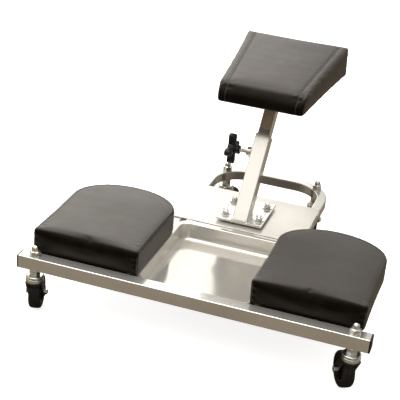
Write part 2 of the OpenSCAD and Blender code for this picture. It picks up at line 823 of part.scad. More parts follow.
// Black pressed fork: a top plate under the race and two legs down to the axle
module fork(c) {
    half = fork_gap / 2 + fork_t;
    boss_r = axle_d * 1.4;
    color([0.09, 0.09, 0.09]) on_caster(c) difference() {
        union() {
            translate([0, 0, fork_low]) cylinder(r = race_d / 2 - 2 * soft_gap, h = fork_plate_t);
            translate([-half, -trail / 3, fork_low]) cube([2 * half, trail * 0.85, fork_plate_t]);
            for (s = [-1, 1]) translate([s > 0 ? fork_gap / 2 : -half, 0, 0]) rotate([90, 0, 90])
                linear_extrude(fork_t) hull() {
                    translate([-trail / 3, fork_low]) square([trail * 0.85, fork_plate_t]);
                    translate([trail, axle_z]) circle(boss_r, $fn = 32);
                }
        }
        translate([0, 0, fork_low - cut]) cylinder(r = stem_d / 2 + run_fit, h = fork_plate_t + 2 * cut);
        translate([-half - cut, trail, axle_z]) rotate([0, 90, 0])
            cylinder(r = axle_d / 2 + run_fit, h = 2 * (half + cut));
    }
}

// Frame of a wheel: origin at the wheel's middle, +Z along the axle
module on_wheel(c) {
    on_caster(c) translate([0, trail, axle_z]) rotate([0, 90, 0]) children();
}

// Axle bolt with its nut outside the fork's legs
module axle(c) {
    half = fork_gap / 2 + fork_t;
    color("gainsboro") on_wheel(c) {
        translate([0, 0, -half - axle_head_h]) hex_nut(axle_af, axle_head_h);
        translate([0, 0, -half - axle_head_h]) cylinder(d = axle_d, h = 2 * (half + axle_head_h) + axle_d / 4);
        translate([0, 0, half]) hex_nut(axle_af, axle_head_h);
    }
}

// Moulded wheel centre: boss, web and rim in one turning
module hub(c) {
    r = wheel_d / 2 - tyre_t;
    boss_half = fork_gap / 2 - soft_gap;
    web = tyre_w / 3;
    rim = tyre_t / 2;
    color([0.12, 0.12, 0.12]) on_wheel(c) rotate_extrude() {
        translate([axle_d / 2 + run_fit, -boss_half]) square([axle_d * 0.8, 2 * boss_half]);
        translate([axle_d / 2 + run_fit, -web / 2]) square([r - axle_d / 2 - run_fit, web]);
        translate([r - rim, -tyre_w * 0.45]) square([rim, tyre_w * 0.9]);
    }
}

// Tyre with rounded shoulders
module tyre(c) {
    e = tyre_t * 0.45;
    color([0.06, 0.06, 0.06]) on_wheel(c) rotate_extrude() translate([wheel_d / 2, 0]) {
        translate([-tyre_t, -tyre_w / 2]) square([tyre_t - e, tyre_w]);
        translate([-tyre_t, e - tyre_w / 2]) square([tyre_t, tyre_w - 2 * e]);
        for (s = [-1, 1]) translate([-e, s * (tyre_w / 2 - e)]) circle(e);
    }
}

front_rail();
rail_end_caps();
rear_loop();
tool_tray();
rear_plate();
left_pad_carrier();
right_pad_carrier();
left_pad_board();
right_pad_board();
left_knee_cushion();
right_knee_cushion();
pad_screws();
post_base_plate();
rubber_bushings();
base_bolts();
base_washers();
base_nuts();
post_outer_tube();
clamp_boss();
clamp_pad();
clamp_screw();
clamp_knob();
post_inner_tube();
seat_bracket();
seat_board();
seat_cushion();
seat_screws();
stem_acorn_nuts();
stem_top_washers();
stem_lower_washers();
caster_stems();
caster_top_races();
swivel_balls();
lower_race(front_left);  // front_left_race
fork(front_left);  // front_left_fork
axle(front_left);  // front_left_axle
hub(front_left);  // front_left_hub
tyre(front_left);  // front_left_tyre
lower_race(front_right);  // front_right_race
fork(front_right);  // front_right_fork
axle(front_right);  // front_right_axle
hub(front_right);  // front_right_hub
tyre(front_right);  // front_right_tyre
lower_race(rear_left);  // rear_left_race
fork(rear_left);  // rear_left_fork
axle(rear_left);  // rear_left_axle
hub(rear_left);  // rear_left_hub
tyre(rear_left);  // rear_left_tyre
lower_race(rear_right);  // rear_right_race
fork(rear_right);  // rear_right_fork
axle(rear_right);  // rear_right_axle
hub(rear_right);  // rear_right_hub
tyre(rear_right);  // rear_right_tyre
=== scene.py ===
"""Looks of a kneeling creeper seat, in metres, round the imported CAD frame.

CAD nodes keep their place and shape and get procedural materials. Cushions, tray, fasteners, knob, wheels and trim
are built here in mesh code from the boxes and joints of that frame, and ride on the body that carries them.
"""

import json
import logging
import math
from dataclasses import dataclass, field
from enum import Enum
from typing import Callable, Iterable, Optional, Sequence, Union

import bmesh
import bpy
from mathutils import Matrix, Vector, noise
from mathutils.bvhtree import BVHTree
from mathutils.kdtree import KDTree


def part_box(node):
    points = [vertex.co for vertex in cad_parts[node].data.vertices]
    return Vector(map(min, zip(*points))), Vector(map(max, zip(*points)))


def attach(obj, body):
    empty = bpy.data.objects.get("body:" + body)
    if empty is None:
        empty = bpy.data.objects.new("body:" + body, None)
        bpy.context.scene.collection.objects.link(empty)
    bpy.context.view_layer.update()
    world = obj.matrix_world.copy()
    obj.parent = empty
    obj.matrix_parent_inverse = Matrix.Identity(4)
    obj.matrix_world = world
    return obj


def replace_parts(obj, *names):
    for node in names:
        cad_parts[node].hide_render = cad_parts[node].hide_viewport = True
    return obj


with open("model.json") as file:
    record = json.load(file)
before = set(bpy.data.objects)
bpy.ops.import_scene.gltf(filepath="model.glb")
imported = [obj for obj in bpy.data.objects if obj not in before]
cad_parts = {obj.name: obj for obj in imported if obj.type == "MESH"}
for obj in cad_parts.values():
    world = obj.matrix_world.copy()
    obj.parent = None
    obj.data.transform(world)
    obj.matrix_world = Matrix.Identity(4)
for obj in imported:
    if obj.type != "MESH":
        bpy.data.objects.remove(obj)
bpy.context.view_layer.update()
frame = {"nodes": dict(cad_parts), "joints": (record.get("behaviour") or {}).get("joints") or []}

LOG = logging.getLogger("creeper_seat")
MM = 0.001
LEAN = math.radians(40.0)
IMAGE_PX = 400
FOCAL_PX = 1122.45
PLY_PAIR = 2.4 * MM
UP = Vector((0, 0, 1))
Ring = list[Vector]
Profile = Sequence[tuple[float, float]]
Colour = tuple[float, float, float, float]
Span = tuple[str, float, float, float, float]
Mesh = bmesh.types.BMesh
Socket = bpy.types.NodeSocket


@dataclass(frozen=True)
class Recipe:
    """What a finish is made of: a shared effect whose masks choose tones and roughness, and plain shader values.

    A span is a mask's name, the part of its range in use, and the two values that this part gives.
    """

    name: str
    slot: str
    effect: str
    tone: Span
    low: Colour
    high: Colour
    bump: tuple[float, float]
    rough: Union[Span, float]
    over: Optional[Span] = None
    cover: Colour = (0.0, 0.0, 0.0, 1.0)
    metallic: float = 0.0
    coat: tuple[float, float] = (0.0, 0.03)
    specular: float = 0.5
    facing: Optional[tuple[float, float, float, float]] = None
    tint: Colour = (1.0, 1.0, 1.0, 1.0)
    crease: float = 0.0


def silver(name: str, slot: str, low: Colour, high: Colour, metal: tuple[float, float], rough: tuple) -> Recipe:
    """Sprayed silver, whose flake lifts the tone and whose smudges dull it.

    Args:
        name: name of the material.
        slot: material slot of the record.
        low: tone between the flakes.
        high: tone of the flakes.
        metal: how metallic it is, and the roughness of its coat.
        rough: roughness of clean and of smudged paint.
    """
    return Recipe(
        name, slot, "sprayed_paint", ("Flake", 0.0, 1.0, 0.0, 1.0), low, high, (0.00005, 0.2),
        ("Smudge", 0.3, 0.75, *rough), ("Smudge", 0.45, 0.75, 0.0, 0.35), (0.46, 0.43, 0.39, 1.0),
        metallic=metal[0], coat=(0.3, metal[1]),
    )


def moulded(name: str, slot: str, low: Colour, high: Colour, rough: tuple, grain: float) -> Recipe:
    """Moulded plastic or rubber, whose scuffs lift tone and roughness, and which dust lies on.

    Args:
        name: name of the material.
        slot: material slot of the record.
        low: tone of clean skin.
        high: tone of scuffs.
        rough: roughness of clean and of scuffed skin.
        grain: height of the skin's grain.
    """
    return Recipe(
        name, slot, "moulded_skin", ("Scuff", 0.5, 0.75, 0.0, 0.7), low, high, (grain, 0.6),
        ("Scuff", 0.35, 0.75, *rough), ("Dust", 0.0, 1.0, 0.0, 0.05), (0.35, 0.32, 0.28, 1.0), specular=0.3,
    )


SHADE, CREAM = (0.63, 0.61, 0.565, 1.0), (0.69, 0.67, 0.625, 1.0)


class Finish(Enum):
    """The finishes of this seat."""

    FRAME_PAINT = silver(
        "silver_frame_paint", "frame_paint", (0.72, 0.705, 0.675, 1.0), (0.80, 0.785, 0.755, 1.0), (0.78, 0.08),
        (0.12, 0.24),
    )
    PLATE_PAINT = silver("gloss_plate_paint", "frame_paint", SHADE, CREAM, (0.6, 0.05), (0.2, 0.3))
    TRAY_PAINT = silver("gloss_tray_paint", "tray_paint", SHADE, CREAM, (0.6, 0.05), (0.09, 0.17))
    ZINC = Recipe(
        "bright_zinc", "zinc", "zinc_plating", ("Tint", 0.35, 0.68, 0.0, 1.0), (0.76, 0.79, 0.80, 1.0),
        (0.80, 0.77, 0.68, 1.0), (0.00004, 0.3), ("Streak", 0.3, 0.7, 0.12, 0.3), metallic=1.0,
    )
    BLACK_STEEL = Recipe(
        "black_painted_steel", "black_steel", "sprayed_paint", ("Smudge", 0.55, 0.8, 0.0, 0.6),
        (0.012, 0.011, 0.011, 1.0), (0.05, 0.047, 0.045, 1.0), (0.0001, 0.35), ("Smudge", 0.3, 0.8, 0.26, 0.5),
        coat=(0.2, 0.03),
    )
    VINYL = Recipe(
        "upholstery_vinyl", "vinyl", "leather_grain", ("Mottle", 0.35, 0.7, 0.0, 1.0), (0.0040, 0.0027, 0.0018, 1.0),
        (0.0080, 0.0054, 0.0038, 1.0), (0.00022, 0.38), ("Mottle", 0.35, 0.8, 0.38, 0.45),
        facing=(0.12, 0.6, 0.08, 0.95), tint=(1.0, 0.93, 0.86, 1.0), crease=0.12,
    )
    PIPING = Recipe(
        "seam_piping", "vinyl", "leather_grain", ("Mottle", 0.0, 1.0, 0.0, 1.0), (0.012, 0.009, 0.007, 1.0),
        (0.03, 0.024, 0.02, 1.0), (0.00008, 0.3), 0.22, specular=0.9,
    )
    THREAD = Recipe(
        "sewing_thread", "vinyl", "moulded_skin", ("Scuff", 0.0, 1.0, 0.0, 1.0), (0.012, 0.009, 0.008, 1.0),
        (0.04, 0.032, 0.027, 1.0), (0.0001, 0.6), 0.55,
    )
    PLYWOOD = Recipe(
        "birch_plywood", "plywood", "plywood_grain", ("Grain", 0.3, 0.7, 0.0, 1.0), (0.24, 0.17, 0.10, 1.0),
        (0.36, 0.27, 0.17, 1.0), (0.0002, 0.5), 0.68, ("Ply", 0.0, 1.0, 0.0, 0.22), (0.30, 0.17, 0.08, 1.0),
    )
    BLACK_PLASTIC = moulded(
        "moulded_black_plastic", "black_plastic", (0.010, 0.009, 0.009, 1.0), (0.03, 0.028, 0.026, 1.0), (0.3, 0.48),
        0.00008,
    )
    WHITE_PLASTIC = moulded(
        "moulded_white_plastic", "white_plastic", (0.78, 0.76, 0.70, 1.0), (0.62, 0.59, 0.52, 1.0), (0.35, 0.5),
        0.00005,
    )
    RUBBER = moulded(
        "bushing_rubber", "rubber", (0.014, 0.013, 0.012, 1.0), (0.05, 0.047, 0.044, 1.0), (0.6, 0.8), 0.00012
    )
    TYRE = moulded("tyre_rubber", "tyre", (0.012, 0.011, 0.011, 1.0), (0.042, 0.038, 0.034, 1.0), (0.45, 0.7), 0.0001)


class Graph:
    """Adds nodes to a node tree and links them."""

    def __init__(self, tree: bpy.types.NodeTree) -> None:
        """Keeps the tree that the nodes go to."""
        self.tree = tree

    def add(self, kind: str, inputs: Optional[dict] = None, **settings: object) -> bpy.types.Node:
        """Adds one node.

        Args:
            kind: type name after the word ShaderNode, or a full type name.
            inputs: socket name or number to a constant or to the socket that feeds it.
            settings: attributes of the node.
        Returns:
            The new node.
        """
        full = kind if kind.startswith("Node") or kind.startswith("Shader") else "ShaderNode" + kind
        node = self.tree.nodes.new(full)
        for key, value in settings.items():
            setattr(node, key, value)
        for key, value in (inputs or {}).items():
            if isinstance(value, Socket):
                self.tree.links.new(value, node.inputs[key])
            else:
                node.inputs[key].default_value = value
        return node

    def math(self, operation: str, a: Union[float, Socket], b: Union[float, Socket] = 0.0) -> Socket:
        """Returns the result of a Math node on two values."""
        return self.add("Math", {0: a, 1: b}, operation=operation).outputs[0]

    def remap(self, value: Socket, low: float, high: float, to_low: float, to_high: float) -> Socket:
        """Returns value mapped from one range to another, clamped."""
        return self.add("MapRange", {0: value, 1: low, 2: high, 3: to_low, 4: to_high}).outputs[0]

    def mix(self, share: Union[float, Socket], a: object, b: object) -> Socket:
        """Returns a colour mixed from a to b by share."""
        return self.add("Mix", {0: share, 6: a, 7: b}, data_type="RGBA").outputs[2]


def blank(owner: Union[bpy.types.Material, bpy.types.World]) -> Graph:
    """Returns the emptied node graph of a material or a world."""
    owner.use_nodes = True
    owner.node_tree.nodes.clear()
    return Graph(owner.node_tree)


def added(name: str, data: bpy.types.ID) -> bpy.types.Object:
    """Returns a new object of the scene that shows the data."""
    made = bpy.data.objects.new(name, data)
    bpy.context.scene.collection.objects.link(made)
    return made


def meshed(name: str, bm: Mesh) -> bpy.types.Object:
    """Returns a new object of the scene made from a mesh, which is freed."""
    mesh = bpy.data.meshes.new(name)
    bm.to_mesh(mesh)
    bm.free()
    return added(name, mesh)


def tree_of(points: Sequence[Vector]) -> KDTree:
    """Returns a search tree of points that knows each by its number."""
    tree = KDTree(len(points))
    for i, p in enumerate(points):
        tree.insert(p, i)
    tree.balance()
    return tree


@dataclass
class Effects:
    """Shared shader effects, each a node group that gives masks and heights only."""

    groups: dict[str, bpy.types.NodeTree] = field(default_factory=dict)

    def make(self, name: str, outputs: Sequence[str], fill: Callable[[Graph, Socket], Sequence[Socket]]) -> None:
        """Makes one group whose outputs are values worked out from object coordinates.

        Args:
            name: name of the group.
            outputs: names of its value outputs.
            fill: gets the graph and the coordinates, and returns one socket for each output.
        """
        tree = bpy.data.node_groups.new(name, "ShaderNodeTree")
        for output in outputs:
            tree.interface.new_socket(output, in_out="OUTPUT", socket_type="NodeSocketFloat")
        graph = Graph(tree)
        where = graph.add("TexCoord").outputs["Object"]
        graph.add("NodeGroupOutput", dict(enumerate(fill(graph, where))))
        self.groups[name] = tree

    def build(self) -> "Effects":
        """Makes all groups and returns the library."""
        self.make("leather_grain", ("Height", "Mottle", "Crease"), self.leather)
        self.make("sprayed_paint", ("Height", "Flake", "Smudge"), self.paint)
        self.make("zinc_plating", ("Height", "Tint", "Streak"), self.zinc)
        self.make("plywood_grain", ("Grain", "Ply", "Height"), self.wood)
        self.make("moulded_skin", ("Height", "Scuff", "Dust"), self.moulded)
        return self

    @staticmethod
    def texture(g: Graph, where: Socket, scale: float, detail: float = 2.0, rough: float = 0.5) -> Socket:
        """Returns the value of a noise texture."""
        return g.add("TexNoise", {"Vector": where, "Scale": scale, "Detail": detail, "Roughness": rough}).outputs[0]

    @staticmethod
    def stretched(g: Graph, where: Socket, scale: tuple[float, float, float]) -> Socket:
        """Returns coordinates with a scale of its own for each axis."""
        return g.add("Mapping", {"Vector": where, "Scale": scale}).outputs[0]

    def leather(self, g: Graph, where: Socket) -> Sequence[Socket]:
        """Embossed vinyl: pebbles with fine valleys, soft mottling and long shallow creases."""
        warp = g.add("TexNoise", {"Vector": where, "Scale": 320.0, "Detail": 1.0}).outputs[1]
        shifted = g.add("VectorMath", {0: warp, 1: (0.0007,) * 3, 2: where}, operation="MULTIPLY_ADD").outputs[0]
        cells = g.add("TexVoronoi", {"Vector": shifted, "Scale": 720.0}, feature="DISTANCE_TO_EDGE").outputs[0]
        pebble = g.remap(cells, 0.0, 0.32, 0.0, 1.0)
        fine = self.texture(g, where, 2400.0)
        height = g.math("ADD", pebble, g.math("MULTIPLY", fine, 0.35))
        crease = self.texture(g, self.stretched(g, where, (16.0, 46.0, 30.0)), 1.0, 3.0)
        return height, self.texture(g, where, 34.0, 4.0), crease

    def paint(self, g: Graph, where: Socket) -> Sequence[Socket]:
        """Sprayed metallic paint: orange peel, flake sparkle and hand marks."""
        peel = self.texture(g, where, 260.0)
        flake = g.add("TexVoronoi", {"Vector": where, "Scale": 3600.0}).outputs[1]
        sparkle = g.add("SeparateColor", {0: flake}).outputs[0]
        return peel, sparkle, self.texture(g, where, 9.0, 5.0, 0.6)

    def zinc(self, g: Graph, where: Socket) -> Sequence[Socket]:
        """Bright zinc plating: fine pits, slow blue and yellow tints, and drawn streaks."""
        streak = self.texture(g, self.stretched(g, where, (90.0, 90.0, 900.0)), 1.0, 3.0)
        return self.texture(g, where, 1500.0), self.texture(g, where, 60.0, 3.0), streak

    def wood(self, g: Graph, where: Socket) -> Sequence[Socket]:
        """Plywood: long grain along Y, and plies that show as bands up the edge."""
        along = self.stretched(g, where, (95.0, 5.0, 40.0))
        grain = self.texture(g, along, 1.0, 6.0, 0.6)
        up = g.add("SeparateXYZ", {0: where}).outputs[2]
        ply = g.math("SINE", g.math("MULTIPLY", up, 2 * math.pi / PLY_PAIR))
        return grain, g.remap(ply, -0.4, 0.4, 0.0, 1.0), self.texture(g, along, 3.0, 4.0)

    def moulded(self, g: Graph, where: Socket) -> Sequence[Socket]:
        """Moulded plastic or rubber: spark-eroded skin, rubbed patches and dust that lies on upward faces."""
        up = g.add("SeparateXYZ", {0: g.add("NewGeometry").outputs["Normal"]}).outputs[2]
        dust = g.math("MULTIPLY", g.remap(up, 0.3, 1.0, 0.0, 1.0), self.texture(g, where, 70.0, 4.0))
        return self.texture(g, where, 1900.0, 3.0), self.texture(g, where, 120.0, 5.0, 0.65), dust


@dataclass
class Palette:
    """Materials, one for each finish."""

    effects: Effects
    made: dict[Finish, bpy.types.Material] = field(default_factory=dict)

    def build(self) -> "Palette":
        """Makes every material and returns the palette."""
        for finish in Finish:
            self.made[finish] = self.surface(finish.value)
        return self

    def surface(self, recipe: Recipe) -> bpy.types.Material:
        """Returns the material of a recipe."""
        material = bpy.data.materials.new(recipe.name)
        g = blank(material)
        fx = g.add("Group", node_tree=self.effects.groups[recipe.effect]).outputs
        height = fx["Height"]
        colour = g.mix(g.remap(fx[recipe.tone[0]], *recipe.tone[1:]), recipe.low, recipe.high)
        if recipe.over:
            colour = g.mix(g.remap(fx[recipe.over[0]], *recipe.over[1:]), colour, recipe.cover)
        rough, gloss = recipe.rough, recipe.specular
        if not isinstance(rough, float):
            mask = fx[rough[0]]
            if recipe.crease:
                coarse = g.math("MULTIPLY", g.remap(fx["Crease"], 0.4, 0.6, 0.0, 1.0), recipe.crease)
                mask, height = g.math("ADD", mask, coarse), g.math("ADD", height, coarse)
            rough = g.remap(mask, *rough[1:])
        if recipe.facing:
            gloss = g.remap(g.add("LayerWeight", {0: 0.5}).outputs[1], *recipe.facing)
        bump = g.add("Bump", {"Height": height, "Distance": recipe.bump[0], "Strength": recipe.bump[1]})
        sockets = {"Base Color": colour, "Metallic": recipe.metallic, "Roughness": rough, "Normal": bump.outputs[0]}
        sockets |= {"Coat Weight": recipe.coat[0], "Coat Roughness": recipe.coat[1]}
        sockets |= {"Specular IOR Level": gloss, "Specular Tint": recipe.tint}
        g.add("OutputMaterial", {0: g.add("BsdfPrincipled", sockets).outputs[0]})
        return material


@dataclass
class Workshop:
    """Turns mesh data into pieces that ride on the frame."""

    palette: Palette

    def finish(self, name: str, bm: Mesh, finish: Finish, body: str, sharp: float = 35.0) -> bpy.types.Object:
        """Makes an object from a mesh in the row frame.

        Args:
            name: name of the piece.
            bm: its mesh, freed here.
            finish: its material.
            body: the CAD body that it rides on.
            sharp: edges that turn by more than this many degrees stay sharp.
        Returns:
            The object.
        """
        bmesh.ops.recalc_face_normals(bm, faces=bm.faces[:])
        piece = meshed(name, bm)
        mesh = piece.data
        mesh.shade_smooth()
        mesh.set_sharp_from_angle(angle=math.radians(sharp))
        mesh.materials.append(self.palette.made[finish])
        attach(piece, body)
        LOG.info("made %s with %d faces", name, len(mesh.polygons))
        return piece

    def stand_in(self, node: str, made: str, bm: Mesh, finish: Finish, body: str, sharp: float = 35.0) -> None:
        """Makes the piece that takes a CAD node's place.

        Args:
            node: name of the node.
            made: how the piece is made, for its name.
            bm: its mesh, freed here.
            finish: its material.
            body: the CAD body that it rides on.
            sharp: edges that turn by more than this many degrees stay sharp.
        """
        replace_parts(self.finish(f"{node}.{made}", bm, finish, body, sharp), node)

    def dress(self, nodes: Iterable[str], finish: Finish, round_edge: float = 0.0) -> None:
        """Gives CAD nodes a finish, and rounds their edges if asked.

        Args:
            nodes: names of the nodes.
            finish: the finish.
            round_edge: width of the rounding in metres, or 0 for none.
        """
        for name in nodes:
            node = frame["nodes"][name]
            node.data.materials.clear()
            node.data.materials.append(self.palette.made[finish])
            if round_edge:
                node.modifiers.new("weld", "WELD").merge_threshold = 0.00002
                rounding = node.modifiers.new("rounding", "BEVEL")
                rounding.width, rounding.segments = round_edge, 2
                rounding.limit_method, rounding.angle_limit = "ANGLE", math.radians(50.0)
                rounding.use_clamp_overlap, rounding.harden_normals = True, False


def loft(bm: Mesh, rings: Sequence[Ring], cap: bool = True, close: bool = False) -> None:
    """Adds a skin over rings that have equal counts of points.

    Args:
        bm: the mesh that gets it.
        rings: the rings in order.
        cap: fills the first and last rings.
        close: joins the last ring to the first.
    """
    rows = [[bm.verts.new(p) for p in ring] for ring in rings]
    for a, b in list(zip(rows, rows[1:])) + ([(rows[-1], rows[0])] if close else []):
        for i in range(len(a)):
            bm.faces.new((a[i - 1], a[i], b[i], b[i - 1]))
    if cap and not close:
        bm.faces.new(rows[0])
        bm.faces.new(rows[-1])


def circle(centre: Vector, across: Vector, up: Vector, radius: float, count: int) -> Ring:
    """Returns points round a circle in the plane of two unit vectors."""
    turns = (2 * math.pi * i / count for i in range(count))
    return [centre + across * (radius * math.cos(t)) + up * (radius * math.sin(t)) for t in turns]


def bead(bm: Mesh, path: Sequence[Vector], radius: float, ripple: float, closed: bool = False) -> None:
    """Adds a weld bead whose radius ripples along a path.

    Args:
        bm: the mesh that gets it.
        path: points along the middle of the bead.
        radius: mean radius.
        ripple: length of one ripple.
        closed: joins the end to the start.
    """
    rings, run, side = [], 0.0, (path[1] - path[0]).orthogonal()
    for i, p in enumerate(path):
        before = path[i - 1] if i or closed else p
        after = path[(i + 1) % len(path)] if i + 1 < len(path) or closed else p
        along = (after - before).normalized()
        side = (side - along * side.dot(along)).normalized()
        run += (p - before).length if i else 0.0
        swell = radius * (1 + 0.16 * math.sin(2 * math.pi * run / ripple) + 0.1 * noise.noise(p * 300))
        rings.append(circle(p, side, along.cross(side), swell, 8))
    loft(bm, rings, close=closed)


def arc(start: float, end: float, steps: int) -> list[float]:
    """Returns angles in radians at equal steps between two angles in degrees."""
    return [math.radians(start + (end - start) * i / steps) for i in range(steps + 1)]


def line(a: Vector, b: Vector, steps: int) -> list[Vector]:
    """Returns points at equal steps from one point to another."""
    return [a.lerp(b, i / steps) for i in range(steps + 1)]


def in_mm(rows: Profile) -> list[tuple[float, float]]:
    """Returns pairs given in millimetres as metres."""
    return [(a * MM, b * MM) for a, b in rows]


def rounded(half_x: float, half_y: float, radius: float, steps: int) -> list[tuple[float, float]]:
    """Returns points round a rectangle with rounded corners.

    Args:
        half_x: half its size along the first axis.
        half_y: half its size along the second axis.
        radius: radius of its corners.
        steps: steps round each corner.
    Returns:
        Pairs of places on the two axes, counter-clockwise.
    """
    out = []
    for quarter, (sx, sy) in enumerate(((1, -1), (1, 1), (-1, 1), (-1, -1))):
        x, y = sx * (half_x - radius), sy * (half_y - radius)
        turns = arc(90 * quarter - 90, 90 * quarter, steps)
        out += [(x + radius * math.cos(t), y + radius * math.sin(t)) for t in turns]
    return out


def round_tube(middle: Vector, half: float, steps: int) -> list[Vector]:
    """Returns points round the mitred end of a leaning square tube, where it meets a level plate.

    Args:
        middle: middle of the tube's end.
        half: half the width of the tube.
        steps: steps along each side.
    """
    long = half / math.cos(LEAN)
    corners = [middle + Vector((x * half, y * long, 0)) for x, y in ((-1, -1), (1, -1), (1, 1), (-1, 1))]
    return [p for a, b in zip(corners, corners[1:] + corners[:1]) for p in line(a, b, steps)[:-1]]


def block(bm: Mesh, place: Matrix, size: Sequence[float], edge: float) -> None:
    """Adds a block with rounded edges.

    Args:
        bm: the mesh that gets it.
        place: its place and turn.
        size: its three sizes.
        edge: radius of its edges.
    """
    made = bmesh.ops.create_cube(bm, size=1.0, matrix=place @ Matrix.Diagonal((*size, 1.0)))
    edges = list({e for v in made["verts"] for e in v.link_edges})
    bmesh.ops.bevel(bm, geom=edges, offset=edge, segments=2, profile=0.5, affect="EDGES", material=-1)


def spaced(points: Sequence[Vector], step: float) -> list[Vector]:
    """Returns points at equal steps along a polyline.

    Args:
        points: the polyline.
        step: length between the new points.
    """
    out, left = [points[0].copy()], step
    for a, b in zip(points, points[1:]):
        length = (b - a).length
        while length >= left > 0 and length > 1e-9:
            a = a.lerp(b, left / length)
            out.append(a.copy())
            length, left = (b - a).length, step
        left -= length
    return out


@dataclass
class Stack:
    """A turned or hexagonal part as rings along an axis, such as a bolt."""

    origin: Vector
    axis: Vector
    spin: float = 0.0
    count: int = 48
    chamfered: float = 0.965
    chamfer: float = 0.577
    rings: list[Ring] = field(default_factory=list)

    def across(self) -> tuple[Vector, Vector]:
        """Returns the directions of angles 0 and 90 degrees: upwards for a level axis, along X for an upright one."""
        side = Vector((1, 0, 0)) if abs(self.axis.z) > 0.5 else Vector((0, 0, 1))
        return side, self.axis.cross(side)

    def ring(self, along: Callable[[float], float], radius: Callable[[float], float]) -> None:
        """Adds a ring, with a distance along the axis and a radius for each angle."""
        side, up = self.across()
        ring = []
        for i in range(self.count):
            t = 2 * math.pi * i / self.count
            centre = self.origin + self.axis * along(t)
            ring.append(centre + (side * math.cos(t + self.spin) + up * math.sin(t + self.spin)) * radius(t))
        self.rings.append(ring)

    def turned(self, profile: Profile) -> "Stack":
        """Adds round rings at pairs of distance and radius, and returns the stack."""
        for along, radius in profile:
            self.ring(lambda t, a=along: a, lambda t, r=radius: r)
        return self

    def hexagon(self, start: float, flats: float, height: float) -> "Stack":
        """Adds a hexagon with chamfered corners at both ends.

        Args:
            start: distance of its first face along the axis.
            flats: size across its flats.
            height: its height.
        Returns:
            The stack.
        """

        def across(t: float) -> float:
            """Radius of the hexagon at an angle."""
            return flats / 2 / math.cos((t + math.pi / 6) % (math.pi / 3) - math.pi / 6)

        inner, top = flats / 2 * self.chamfered, start + height
        self.turned([(start, inner)])
        self.ring(lambda t: start + (across(t) - inner) * self.chamfer, across)
        self.ring(lambda t: top - (across(t) - inner) * self.chamfer, across)
        return self.turned([(top, inner)])

    def thread(self, start: float, length: float, radius: float, pitch: float) -> "Stack":
        """Adds a threaded rod as rings whose radius follows the helix.

        Args:
            start: distance of its first ring along the axis.
            length: its length.
            radius: outer radius.
            pitch: rise of one turn.
        Returns:
            The stack.
        """
        steps = max(2, round(length / pitch * 6))
        for i in range(steps + 1):
            z = length * i / steps
            ease = min(1.0, (length - z) / pitch, z / pitch)
            self.ring(
                lambda t, z=z: start + z,
                lambda t, z=z, ease=ease: radius
                - 0.55 * pitch * (abs((z / pitch - t / (2 * math.pi)) % 1 * 2 - 1) * ease + 0.6 * (1 - ease)),
            )
        return self

    def into(self, bm: Mesh) -> None:
        """Adds the stack's skin to a mesh."""
        loft(bm, self.rings)


